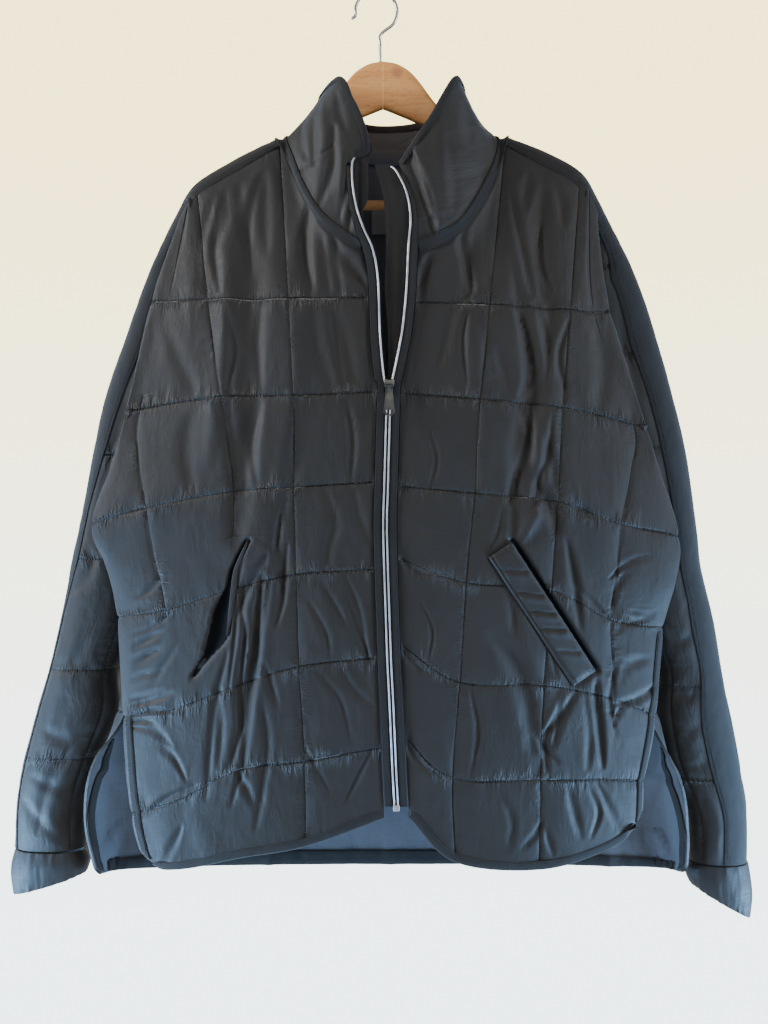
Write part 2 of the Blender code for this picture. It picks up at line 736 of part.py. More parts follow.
def inner_neck_tape():
    """The tape inside the back of the neck, over the seam of the collar and the back."""
    line = spline(NECK_BACK, np.linspace(*INNER_NECK, 19))
    way = np.gradient(line, axis=0)
    inward = np.stack([way[:, 1] * 0 + way[:, 2], 0 * way[:, 0], -way[:, 0]], axis=-1)
    inward /= np.linalg.norm(inward, axis=1, keepdims=True)
    line = line + inward * (COLLAR_WALL + 3.2)
    rows = [line + (0, INNER_NECK_WIDTH * share, 0) for share in (-0.55, 0, 0.45)]
    cloth("inner_neck_tape", np.stack(rows), BINDING, material("black twill", TWILL_BLACK, 0.8))


def zip_chain():
    silver = material("silver coil", COIL_SILVER, 0.35, 0.6)
    start = 0.38
    line = np.array(ZIP_CLOSED) + (-CHAIN_WIDTH / 2, 0, 0)
    closed = zip_strip(line, lambda drop: CHAIN_WIDTH, 1, start, len(line) - 1 - 0.06)
    cloth("zip_chain", closed, COIL_HEIGHT, silver, -1)
    x, drop, y = ZIP_CLOSED[-1]
    width, height, depth = RETAINER
    low = (x - width / 2, drop - 1.6, y - 1.4)
    box("zip_retainer", low, (x + width / 2, drop - 1.6 + height, low[2] + depth), silver)


def slider_and_pull():
    """The slider with its two lugs and pin, and the pull tab that hangs from the pin."""
    gunmetal = material("gunmetal", GUNMETAL, 0.35, 0.9)
    x, y = ZIP_CLOSED[0][0], ZIP_CLOSED[0][2] - 0.4
    top, bottom = SLIDER_WIDTH[0] / 2, SLIDER_WIDTH[1] / 2
    back, face = y - 0.8, y - 0.8 - SLIDER_HEIGHT
    rings = []
    for share, half in ((0, top * 0.8), (0.12, top), (0.5, top), (0.88, bottom), (1, bottom * 0.8)):
        drop = SLIDER_TOP + SLIDER_LENGTH * share
        ring = ((x - half, back), (x + half, back), (x + half, face + 1), (x + half - 1, face),
                (x - half + 1, face), (x - half, face + 1))
        rings.append([frame((a, drop, b)) for a, b in ring])
    slider = solid("slider", rings, gunmetal)
    pin_drop = SLIDER_TOP + SLIDER_LENGTH * 0.6
    pin_y = face - 2.9
    for sign in (-1, 1):
        inner, outer = sign * 2.7, sign * 3.9
        low = (x + min(inner, outer), pin_drop - 1.7, pin_y - 1.7)
        high = (x + max(inner, outer), pin_drop + 1.7, face + 0.5)
        combine(slider, box(f"lug_guide_{'right' if sign > 0 else 'left'}", low, high, gunmetal), "UNION")
    pin = barrel("pin_guide", x, pin_drop, pin_y, 3.2, PULL_PIN_RADIUS, gunmetal)
    combine(slider, pin, "UNION")

    pivot = tuple(float(value) for value in frame((x, pin_drop, pin_y)))
    eye = barrel("pull_tab", x, pin_drop, pin_y, 2.2, 2.2, gunmetal, origin=pivot)
    half_top, half_low = PULL_WIDTH[0] / 2, PULL_WIDTH[1] / 2
    rings = []
    for share, half in ((0, 2.1), (0.1, 2.1), (0.26, half_top), (0.92, half_low), (1, half_low - 1.4)):
        drop = pin_drop + 1.2 + (PULL_LENGTH - 1.2) * share
        thick = PULL_THICKNESS / 2
        ring = (
            (x - half, pin_y - thick),
            (x + half, pin_y - thick),
            (x + half, pin_y + thick),
            (x - half, pin_y + thick),
        )
        rings.append([frame((a, drop, b)) for a, b in ring])
    combine(eye, solid("plate_guide", rings, gunmetal), "UNION")
    hole_drop = pin_drop + PULL_LENGTH - 2.6
    low = (x - PULL_HOLE[0] / 2, hole_drop - PULL_HOLE[1], pin_y - 3)
    high = (x + PULL_HOLE[0] / 2, hole_drop, pin_y + 3)
    combine(eye, box("window_guide", low, high, gunmetal), "DIFFERENCE")
    bore = barrel("bore_guide", x, pin_drop, pin_y, 4.0, PULL_PIN_RADIUS + 0.35, gunmetal)
    combine(eye, bore, "DIFFERENCE")


def barrel(name, x, drop, y, half_length, radius, surface, origin=(0.0, 0.0, 0.0), sides=16):
    """A short cylinder across the zip."""
    rings = []
    for end in (-half_length, half_length):
        angles = [2 * math.pi * index / sides for index in range(sides)]
        centre = x + end
        ring = [(centre, drop + radius * math.cos(a), y + radius * math.sin(a)) for a in angles]
        rings.append([frame(point) for point in ring])
    return solid(name, rings, surface, origin)


def collar_grid(heights):
    """Points of the collar's outer face; heights are rows of functions of each station's height."""
    stations = np.arange(0, len(COLLAR) - 0.9, 0.5)
    foot = spline([station[0] for station in COLLAR], stations)
    top = spline([station[1] for station in COLLAR], stations)
    bulge = spline(np.array([[station[2]] for station in COLLAR]), stations)
    axis = np.array(NECK_AXIS, float)
    away = (foot + top) / 2 - axis
    away[:, 1] = 0
    away /= np.linalg.norm(away, axis=1, keepdims=True)
    height = np.linalg.norm(foot - top, axis=1)
    rows = []
    for from_top in heights:
        share = np.array([from_top(value) for value in height])[:, None]
        rows.append(top + (foot - top) * share + away * bulge * np.sin(np.pi * share))
    grid = np.stack(rows)
    for column, edge, sign in ((0, ZIP_LEFT, -1), (-1, ZIP_RIGHT, 1)):
        fade = np.clip(1 - abs(stations - stations[column]), 0, 1)
        grid[:, :, 0] += np.outer(zip_shift(grid[:, column], edge, sign), fade)
    return grid


def above_foot(distance):
    return lambda height: 1 - distance / height


def collar():
    nylon = material("quilted nylon", NYLON, 0.55)
    twill = material("black twill", TWILL_BLACK, 0.8)
    edge = COLLAR_BINDING + SEAM_GAP

    def below(share):
        return lambda height: (edge + (height - edge - FOOT_CLEAR) * share) / height

    cloth("collar", collar_grid([below(share) for share in (0, 0.25, 0.5, 0.75, 1)]), COLLAR_WALL, nylon)
    bound = [lambda height: 0.0, lambda height: COLLAR_BINDING / height]
    cloth("collar_binding", collar_grid(bound), COLLAR_WALL + 1.6, twill, 1, 0.8)
    taped = [above_foot(FOOT_CLEAR + NECK_TAPE_WIDTH * share) for share in (1, 0)]
    cloth("neck_tape", collar_grid(taped), BINDING, twill, 1, TAPE_CLEAR + BINDING + 0.4)


def cuff(name, table, outward):
    """A padded cuff whose lower edge slants."""
    rows = []
    for drop_out, drop_in, outer, inner, half in table:
        section = sleeve_section((0, outer, inner, 21, half, 0.0), SLEEVE_TURN)
        share = (1 - np.cos(SLEEVE_TURN)) / 2
        section[:, 1] = drop_out + (drop_in - drop_out) * share
        rows.append(section)
    nylon = material("quilted nylon", NYLON, 0.55)
    cloth(name, np.stack(rows), QUILTED, nylon, outward, 0.0, sewn=0)


def back():
    nylon = material("quilted nylon", NYLON, 0.55)
    twill = material("black twill", TWILL_BLACK, 0.8)
    patch("back", back_net, BACK_ROWS_AT, BACK_COLUMNS_AT, QUILTED, nylon)
    inside = -(QUILTED + TAPE_CLEAR)
    casing_share = CASING_WIDTH / HEM_ROW_HEIGHT
    casing_columns = [column for column in BACK_COLUMNS_AT if 0.6 < column < 7.4]
    casing_rows = (10 - casing_share, 10 - casing_share / 2, 10)
    patch("back_hem_casing", back_net, casing_rows, casing_columns, BINDING, twill, 1, inside)
    tape_rows = (7.5, 8, 8.5, 9, 9.5, 9.97)
    for side, columns in (("left", (0.0, 0.35)), ("right", (7.65, 8.0))):
        patch(f"vent_tape_{side}", back_net, tape_rows, columns, BINDING, twill, 1, inside)


def neck_label():
    """A bare label sewn inside the back of the neck."""
    width, height = LABEL_SIZE
    x0, drop0 = LABEL_TOP
    xs = np.linspace(x0 - width / 2, x0 + width / 2, 3)
    rows_at = np.linspace(0.2, 0.7, 40)
    dense = back_net(rows_at, np.linspace(3.6, 4.4, 41)).reshape(-1, 3)
    grid = []
    for drop in (drop0, drop0 + height / 2, drop0 + height):
        near = [dense[np.argmin((dense[:, 0] - x) ** 2 + (dense[:, 1] - drop) ** 2)] for x in xs]
        grid.append([(x, drop, point[2]) for x, point in zip(xs, near)])
    grey = material("grey label", LABEL_GREY, 0.7)
    cloth("neck_label", np.array(grid, float), LABEL, grey, 1, -(QUILTED + 2.2))


def hanger():
    """Two wooden arms glued in the middle, a trouser bar between them and a wire hook."""
    beech = material("beech", BEECH, 0.45)
    steel = material("steel wire", STEEL, 0.3, 1.0)
    corners = [math.radians(15 + 30 * index) for index in range(12)]
    for side, sign in (("left", -1), ("right", 1)):
        rings = []
        for reach, upper, lower, half in HANGER_ARM:
            middle, tall = (upper + lower) / 2, (lower - upper) / 2
            ring = []
            for angle in corners:
                across = math.copysign(abs(math.cos(angle)) ** 0.5, math.cos(angle))
                down = math.copysign(abs(math.sin(angle)) ** 0.35, math.sin(angle))
                ring.append(frame((HANGER_MIDDLE + sign * reach, middle + tall * down, half * across)))
            rings.append(ring)
        solid(f"hanger_arm_{side}", rings, beech)
    angles = [2 * math.pi * index / 12 for index in range(12)]
    rings = [
        [frame((x, BAR_DROP + BAR_RADIUS * math.cos(a), BAR_RADIUS * math.sin(a))) for a in angles]
        for x in BAR_ENDS
    ]
    solid("hanger_bar", rings, beech)

    x, drop, radius = HOOK_RING
    path = [(0.0, HOOK_STEM[0]), (0.0, (HOOK_STEM[0] + HOOK_STEM[1]) / 2), (0.5, HOOK_STEM[1] + 4)]
    for index in range(15):
        angle = math.radians(-42 + (HOOK_TIP_ANGLE + 42) * index / 14)
        path.append((x + radius * math.cos(angle), drop - radius * math.sin(angle)))
    path.append((x - radius - 3.0, drop + 7.0))
    path = np.array(path)
    way = np.gradient(path, axis=0)
    way /= np.linalg.norm(way, axis=1, keepdims=True)
    rings = []
    for (px, pd), (wx, wd) in zip(path, way):
        ring = []
        for index in range(8):
            angle = 2 * math.pi * index / 8
            out = HOOK_WIRE * math.cos(angle)
            ring.append(frame((px - wd * out, pd + wx * out, HOOK_WIRE * math.sin(angle))))
        rings.append(ring)
    solid("hook", rings, steel)


def main():
    for old in list(bpy.data.objects):
        bpy.data.objects.remove(old, do_unlink=True)
    nylon = material("quilted nylon", NYLON, 0.55)
    twill = material("black twill", TWILL_BLACK, 0.8)
    for side in SIDES:
        outward = -side.sign
        surface = front(f"front_{side.name}", side.neck, side.shoulder, side.front, side.zip, outward)
        edge_tapes(side.name, surface, outward)
        welt(f"pocket_welt_{side.name}", surface, side.welt, outward)
        zip_half(side.name, side.zip, side.sign)
        facing(side.name, side.facing)
        grid = sleeve_grid(side.sleeve, SLEEVE_TURN)
        cloth(f"sleeve_{side.name}", grid, QUILTED, nylon, outward, 0.0, SEWN_ROW)
        band = band_grid(side.ridge, side.sleeve, side.roll)
        cloth(f"overarm_band_{side.name}", band, TWILL, twill, outward, BAND_CLEAR + TWILL)
        cuff(f"cuff_{side.name}", side.cuff, outward)
    back()
    collar()
    inner_neck_tape()
    neck_label()
    zip_chain()
    slider_and_pull()
    hanger()


main()
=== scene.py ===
"""A lightly padded, quilted zip jacket hanging on a wooden hanger, built round its fixed frame.

Tables are in millimetres. x runs along the shoulders from the hook's stem, drop is the distance
below the datum level on that stem, and y runs from the front (-) to the back (+). Left is -x.
"""
import collections
import functools
import json
import math

import bmesh
import bpy
import numpy as np
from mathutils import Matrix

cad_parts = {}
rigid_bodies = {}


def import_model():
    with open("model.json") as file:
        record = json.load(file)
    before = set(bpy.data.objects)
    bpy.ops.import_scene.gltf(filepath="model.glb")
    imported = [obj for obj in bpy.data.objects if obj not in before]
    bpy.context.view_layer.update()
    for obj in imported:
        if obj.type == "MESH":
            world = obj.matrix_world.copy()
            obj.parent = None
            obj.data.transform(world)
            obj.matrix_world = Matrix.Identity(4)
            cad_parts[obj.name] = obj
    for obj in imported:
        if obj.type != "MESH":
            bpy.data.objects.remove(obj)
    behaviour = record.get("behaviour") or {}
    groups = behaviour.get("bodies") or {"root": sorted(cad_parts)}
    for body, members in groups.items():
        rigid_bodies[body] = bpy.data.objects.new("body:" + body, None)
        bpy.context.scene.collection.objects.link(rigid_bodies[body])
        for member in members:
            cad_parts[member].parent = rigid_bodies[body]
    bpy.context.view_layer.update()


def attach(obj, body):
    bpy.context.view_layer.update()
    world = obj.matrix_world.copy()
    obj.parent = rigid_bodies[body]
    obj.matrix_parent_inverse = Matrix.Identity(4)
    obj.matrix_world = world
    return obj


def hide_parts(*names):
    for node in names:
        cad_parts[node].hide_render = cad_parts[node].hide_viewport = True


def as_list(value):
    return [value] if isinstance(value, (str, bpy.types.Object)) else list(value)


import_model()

bl_info = {
    "name": "Quilted Jacket on a Hanger",
    "version": (1, 0, 0),
    "blender": (4, 5, 0),
    "location": "View3D > Sidebar > Jacket",
    "description": "Builds a quilted zip jacket hanging on a wooden hanger, piece by piece",
    "category": "Add Mesh",
}

JACKET = "jacket"
PULL = "zip_pull"

MM = 0.001
REST_X = -4.0  # where the hook rests, from the stem
REST_DROP = -17.5
SEAM_GAP = 0.4
QUILTED = 3.0  # thickness of the padded walls, then of the other cloths
COLLAR_WALL = 3.6
TWILL = 1.6
BINDING = 1.5
ZIP_TAPE = 1.0
FACE = 1.0  # how thick the tapes and bands are drawn
TOOTH_PITCH = 1.5
STITCH_SCATTER = 0.06  # how much one stitch's size differs from the next
BAND_WIDTH = 28.0
HEM_BINDING_WIDTH = 8.0
PLACKET_WIDTH = ((0, 3.0), (205, 3.0), (262, 7.5), (900, 7.5))  # drop, width
NECK_TAPE_WIDTH = 7.0
INNER_NECK_WIDTH = 17.0
CASING_WIDTH = 12.0
HEM_ROW_HEIGHT = 60.0  # the last table row of a front or the back is about this tall
FOOT_CLEAR = 1.5  # the collar starts this far above the neckline


# Neckline seam of the fronts, from the centre front up to the shoulder: x, drop, y.
NECK_LEFT = (
    (-19, 260, -51), (-39, 251, -50), (-59, 232, -44), (-77, 202, -32), (-90, 170, -20), (-102, 143, -12),
)
NECK_RIGHT = (
    (32, 262, -51), (58, 254, -50), (79, 239, -45), (99, 213, -35), (116.5, 178, -22), (127, 143, -12),
)
NECK_BACK = (
    (-102, 143, 12), (-80, 142, 29), (-40, 142, 42), (12, 142, 47), (62, 142, 42), (103, 142, 29),
    (127, 143, 12),
)

# Shoulder seam of a front or back from the neck out to the armhole: x, drop, y in front of the ridge.
SHOULDER_LEFT = ((-102, 143, 12), (-186, 193, 13), (-194, 202, 13), (-200.5, 213, 13), (-205, 221, 13))
SHOULDER_RIGHT = ((127, 143, 12), (203, 184, 13), (212, 194, 13), (218, 206, 13), (222, 215, 13))

# Fronts, one row for each quilted line: y at the zip edge, fold and seam; then x at the zip edge,
# three quilted columns, side fold and side seam, and drop at the first five.
FRONT_DEPTHS = (
    (-52, -24, -9), (-57, -27, -9), (-59, -27, -9), (-60, -25, -9), (-61, -24, 13), (-61, -22, 3),
    (-60, -22, -12), (-57, -24, -14), (-53, -22, -14),
)
FRONT_LEFT = (
    ((-7, -90, -171, -212, -229, -205), (308, 308, 307, 307, 306)),
    ((-7, -85, -156, -240, -253, -223), (401, 404, 405, 415, 419)),
    ((-7, -84, -149, -241, -267, -237), (446, 448, 452, 461, 467)),
    ((-7, -84, -144, -232, -289, -250), (489, 494, 498, 514, 530)),
    ((-7, -83, -144, -224, -275, -245), (530, 534, 543, 562, 572)),
    ((-6, -82, -145, -213, -264, -241), (574, 579, 594, 615, 624)),
    ((-4, -79, -145, -210, -256, -257), (660, 669, 690, 715, 724)),
    ((-1, -74, -141, -198, -248, -246), (748, 762, 772, 803, 821)),
    ((3, -73, -138, -193, -234, -232), (817, 845, 858, 872, 877)),
)
FRONT_RIGHT = (
    ((34, 108, 189, 214, 231, 207), (312, 314, 317, 318, 316)),
    ((20, 98, 180, 253, 265, 236), (402, 408, 415, 430, 432)),
    ((18, 95, 177, 250, 282, 251), (446, 453, 461, 478, 482)),
    ((17, 93, 175, 239, 300, 264), (493, 500, 508, 530, 542)),
    ((18, 88, 171, 234, 297, 259), (530, 543, 552, 578, 586)),
    ((19, 84, 168, 229, 285, 255), (563, 587, 594, 625, 634)),
    ((22, 78, 161, 232, 276, 272), (648, 684, 688, 704, 724)),
    ((25, 71, 158, 224, 264, 262), (739, 778, 781, 784, 788)),
    ((29, 74, 157, 223, 262, 260), (816, 860, 869, 855, 836)),
)

# Back, one row for each level: drop at the middle, left and right, x and y of the left seam and
# fold, x and y of the right fold and seam, y at the middle.
BACK = (
    ((306, 306, 306), ((-207, 33), (-226, 42)), ((228, 42), (209, 33)), 43),
    ((405, 415, 420), ((-223, 43), (-248, 54)), ((260, 54), (236, 43)), 41),
    ((450, 466, 472), ((-237, 44), (-260, 56)), ((274, 56), (251, 44)), 40),
    ((495, 531, 541), ((-250, 44), (-272, 56)), ((287, 56), (264, 44)), 39),
    ((540, 572, 584), ((-245, 20), (-256, 48)), ((272, 48), (259, 20)), 39),
    ((600, 624, 634), ((-241, 7), (-245, 28)), ((260, 28), (255, 7)), 39),
    ((690, 722, 724), ((-260, -8), (-269, 9)), ((284, 9), (274, -8)), 39),
    ((765, 775, 790), ((-294, -9), (-276, 14)), ((291, 14), (307, -9)), 39),
    ((820, 832, 845), ((-303, -5), (-284, 20)), ((299, 20), (316, -5)), 39),
    ((891, 891, 889), ((-292, -4), (-274, 18)), ((297, 18), (315, -4)), 38),
)
BACK_QUARTER = (0.45, 0.8)  # quilted columns of the back, as shares of its half width

# Sleeves, one row for each level: drop, x at the outer and inner edge, y of the middle, half depth,
# and how far the section stays open towards the body (1 is the armhole, 0 a closed tube).
SLEEVE_LEFT = (
    (214, -208, -194, 0, 9, 1.0), (245, -225, -199, 4, 11, 1.0), (290, -245, -203, 11.5, 16, 1.0),
    (345, -266, -212, 17, 20, 1.0), (402, -285, -222, 18, 22, 1.0), (459, -297, -236, 18, 23, 1.0),
    (528, -310, -251, 18, 23, 1.0), (566, -318, -252, 18, 24, 0.0), (620, -329, -252, 20, 26, 0.0),
    (680, -343, -271.5, 21, 27, 0.0), (724, -356, -272, 21, 27, 0.0), (777, -370, -293, 22, 27, 0.0),
    (820, -377, -306, 22, 27, 0.0), (866, -379, -307, 21, 25, 0.0),
)
SLEEVE_RIGHT = (
    (208, 227, 213, 0, 9, 1.0), (245, 248, 214, 4.5, 11, 1.0), (290, 269, 210, 11.5, 16, 1.0),
    (345, 288, 215, 17, 20, 1.0), (402, 304, 234, 18, 22, 1.0), (459, 317, 248, 18, 23, 1.0),
    (538, 328, 265, 18, 23, 1.0), (576, 332, 266, 18, 24, 0.0), (632, 346, 268, 20, 26, 0.0),
    (680, 354, 287.5, 21, 27, 0.0), (724, 363, 286, 21, 27, 0.0), (777, 374, 296, 22, 27, 0.0),
    (830, 381, 318, 22, 27, 0.0), (880, 381, 323, 21, 25, 0.0),
)
SEWN_ROW = 7  # the sleeve's sides are sewn together from this row down

# Overarm bands: the ridge over each shoulder (x, drop, y), then how the band turns round the sleeve.
BAND_LEFT = ((-105.5, 135.5, 0), (-144, 154, 0), (-185, 178, 0), (-206, 200, 1))
BAND_RIGHT = ((129.5, 133.5, 0), (172, 150, 0), (204, 168, 0), (223, 191, 1))
BAND_ROLL_LEFT = (
    (0, 0), (245, -10), (290, -22), (345, -38), (402, -29), (447, -22), (516, -6), (566, -5), (619, 9),
    (900, 6),
)  # drop, degrees turned to the back
BAND_ROLL_RIGHT = ((0, 0), (245, -16), (290, -26), (345, -38), (459, -41), (610, -38), (740, -55), (900, -55))

# Cuffs: drop at the outer and inner edge, x at the outer and inner edge, half depth.
CUFF_LEFT = ((868, 868, -381, -306, 26), (890, 878, -384, -304, 27), (915, 893, -383, -306, 24))
CUFF_RIGHT = ((882, 882, 384, 322, 26), (914, 892, 387, 320, 27), (940, 906, 386, 324, 24))

# Collar: foot and top of each station and how far it bulges from the neck, from the left zip edge
# round the back to the right zip edge.
COLLAR = (
    ((-21, 258, -52), (-34, 166, -44), 5), ((-56, 232, -46), (-31, 139, -45), 3),
    ((-77, 200, -35), (-33, 108, -40), 3), ((-90, 168, -21), (-41, 83, -30), 1),
    ((-101, 138, 0), (-60, 91, 0), -3), ((-80, 139, 29), (-50, 97, 32), 3), ((-40, 139, 43), (-16, 105, 46), 2),
    ((12, 139, 48), (14, 106, 49), 2), ((62, 139, 43), (42, 103, 46), 2), ((103, 139, 29), (68, 96, 32), 3),
    ((125, 138, 0), (84, 93, 0), -5), ((115, 176, -22), (76, 83, -31), 0), ((79, 237, -46), (51, 126, -44), 3),
    ((38, 259, -52), (27, 172, -41), 5),
)
NECK_AXIS = (12, 0, -2)

# Zip edges from the collar down to the slider, then the closed zip down to the hem: x, drop, y.
ZIP_LEFT = (
    (-28, 168, -47), (-27, 196, -52), (-23, 220, -54), (-16, 241, -55), (-7, 262, -56), (-2, 292, -56),
    (0, 346, -58), (4, 388, -60),
)
ZIP_RIGHT = (
    (14, 176, -45), (26, 204, -51), (30, 230, -54), (28, 258, -55), (26, 299, -56), (24, 322, -57),
    (21, 346, -58), (12.5, 388, -60),
)
ZIP_CLOSED = (
    (9, 392, -60), (8, 423, -61), (6, 494, -62), (5, 536, -63), (7, 604, -63), (9, 662, -62), (11, 701, -61),
    (14, 769, -58), (16, 806, -55),
)
# Twill facings behind the zip: drop, x of the left and right edge, y of the face.
FACING_LEFT = (
    (133, -28.5, -21.5, -41.5), (147, -28.5, -14.5, -42.5), (160, -28, -7, -43), (169, -28, -11, -43.5),
    (190, -27.5, -11.5, -47), (211, -25, -12, -50), (226, -21, -17.5, -51), (245, -14.5, -12.5, -52),
)
FACING_RIGHT = (
    (174, -5, 12, -41.5), (190, -1, 21, -45), (206, 3, 27, -48), (230, 5, 31.5, -50.5), (255, 6, 30, -51.5),
    (300, 5, 28, -52.5), (346, 8, 23, -54.5), (388, 7.5, 15, -56.5), (430, 1, 14, -57.5), (494, -1, 13, -58.5),
    (604, 0, 14, -59.5), (662, 2, 16, -58.5), (701, 4, 18, -57.5), (769, 7, 21, -54.5), (806, 9, 23, -51.5),
)
INNER_NECK = (1.7, 4.3)  # ends of the inner neck tape, in places of the back neckline
COIL_WIDTH = 2.6
CHAIN_WIDTH = 6.6
TAPE_BEHIND = 1.9  # the zip tape lies this far behind its coil

SLIDER_TOP = 389.0
SLIDER_LENGTH = 12.0
SLIDER_WIDTH = (10.0, 7.6)
SLIDER_HEIGHT = 4.2
PULL_LENGTH = 29.0
PULL_WIDTH = (7.0, 11.0)
PULL_THICKNESS = 1.4
PULL_HOLE = (5.5, 5.0)
PULL_PIN_RADIUS = 0.9
RETAINER = (6.4, 6.0, 2.8)

# Right pocket's welt: x and drop of the middle of its upper and lower end.
WELT = ((117, 555), (201, 682))

LABEL_SIZE = (30.0, 30.0)
LABEL_TOP = (6.0, 193.0)

# Hanger: distance from the stem, drop of the upper and lower edge, half thickness.
HANGER_MIDDLE = 3.0
HANGER_ARM = (
    (0.3, 56.0, 104.0, 6.5), (14.0, 58.5, 109.5, 6.5), (27.0, 66.0, 115.0, 6.5), (38.0, 78.0, 120.0, 6.5),
    (52.0, 97.0, 126.0, 6.5), (70.0, 117.0, 137.0, 6.5), (98.0, 146.0, 163.0, 6.0), (140.0, 167.0, 186.0, 6.0),
    (178.0, 190.0, 206.0, 5.0), (188.0, 198.0, 208.0, 3.5),
)
BAR_DROP = 203.0
BAR_RADIUS = 5.0
BAR_ENDS = (-154.0, 160.0)
HOOK_WIRE = 1.6
HOOK_RING = (-4.0, 4.0, 21.5)  # middle of the ring and the radius of the wire's centre line
HOOK_STEM = (55.5, 24.0)
HOOK_TIP_ANGLE = 190.0


# What each side is made from, looking at the front; the sign is that side's x direction.
Side = collections.namedtuple("Side", "name sign neck shoulder front zip facing sleeve ridge roll cuff")
SIDES = (
    Side(
        "left", -1, NECK_LEFT, SHOULDER_LEFT, FRONT_LEFT, ZIP_LEFT, FACING_LEFT, SLEEVE_LEFT, BAND_LEFT,
        BAND_ROLL_LEFT, CUFF_LEFT,
    ),
    Side(
        "right", 1, NECK_RIGHT, SHOULDER_RIGHT, FRONT_RIGHT, ZIP_RIGHT, FACING_RIGHT, SLEEVE_RIGHT, BAND_RIGHT,
        BAND_ROLL_RIGHT, CUFF_RIGHT,
    ),
)

TAPE_CLEAR = 0.7  # tapes lie this far off the quilted cloth
CORNER_RADIUS = 21.0

# Steps of the fine grids for each unit of the tables' rows and columns.
CROWD = 0.5  # how much closer the steps lie at the quilted lines
FRONT_STEPS = (57, 45, 24, 21, 24, 45, 45, 45, 36)
FRONT_ACROSS = (45, 36, 36, 15, 12)
BACK_STEPS = (48, 36, 18, 18, 15, 24, 33, 27, 21, 24)
BACK_ACROSS = (9, 18, 33, 39, 39, 33, 18, 9)
SLEEVE_STEPS = (15, 21, 27, 27, 27, 33, 18, 27, 30, 21, 27, 21, 24)
SLEEVE_ROUND = 120
CUFF_STEPS = 24
CUFF_ROUND = 180
BAND_STEPS = 378
BAND_ACROSS = 18
COLLAR_STEPS = 72
COLLAR_ROUND = 351

# Quilted lines: along a row or a column, its place, and where it starts and stops.
FRONT_LINES = tuple(("row", place, 0, 5) for place in (1, 2, 4, 6, 7, 8))
FRONT_SEAMS = {
    "left": (*FRONT_LINES, ("column", 1, 0, 9), ("column", 2, 0, 5), ("column", 3, 1.85, 6.1)),
    "right": (*FRONT_LINES, ("column", 1, 0, 9), ("column", 2, 0, 9), ("column", 3, 2.0, 7.2)),
}
BACK_SEAMS = (
    *(("row", place, 0, 8) for place in (1, 2, 4, 6, 7, 8.1)),
    *(("column", place, 0, 10) for place in (2, 3, 4, 5, 6)),
)
SLEEVE_RINGS = {"left": (1.6, 3.3, 5.0, 7.0, 9.0, 10.9), "right": (1.5, 3.2, 4.9, 6.9, 9.4, 11.3)}
SLEEVE_LINES = (-2.3, 2.3)

# How far the shoulder bands fall to the panels' upper edges, from the neck outwards.
SHOULDER_FALL = {"left": (10.5, 14.5, 16, 15.5), "right": (11, 17.5, 16.5, 15)}

# Where the front of the right collar leaf turns under: drop and x of the turn.
COLLAR_TURN = ((140, 27), (160, 33), (176, 36), (190, 41), (210, 47), (230, 53), (250, 58), (262, 61))

# The quilted line of the collar's left leaf: x and drop.
COLLAR_SEAM = ((-84, 182), (-80, 178), (-66, 171), (-46, 154))

# Left pocket: the two edges of its gap as drop and x.
GAP_OUTER = (
    (541, -127.5), (546, -130.6), (560, -138.6), (575, -145.6), (590, -149), (597, -153), (614, -162),
    (644, -169), (659, -172.5), (684, -187.5),
)
GAP_INNER = (
    (541, -127.5), (546, -129.4), (560, -136.8), (575, -143.4), (595, -146), (619, -148.5), (640, -150.3),
    (648, -156), (662, -169.5), (684, -187),
)

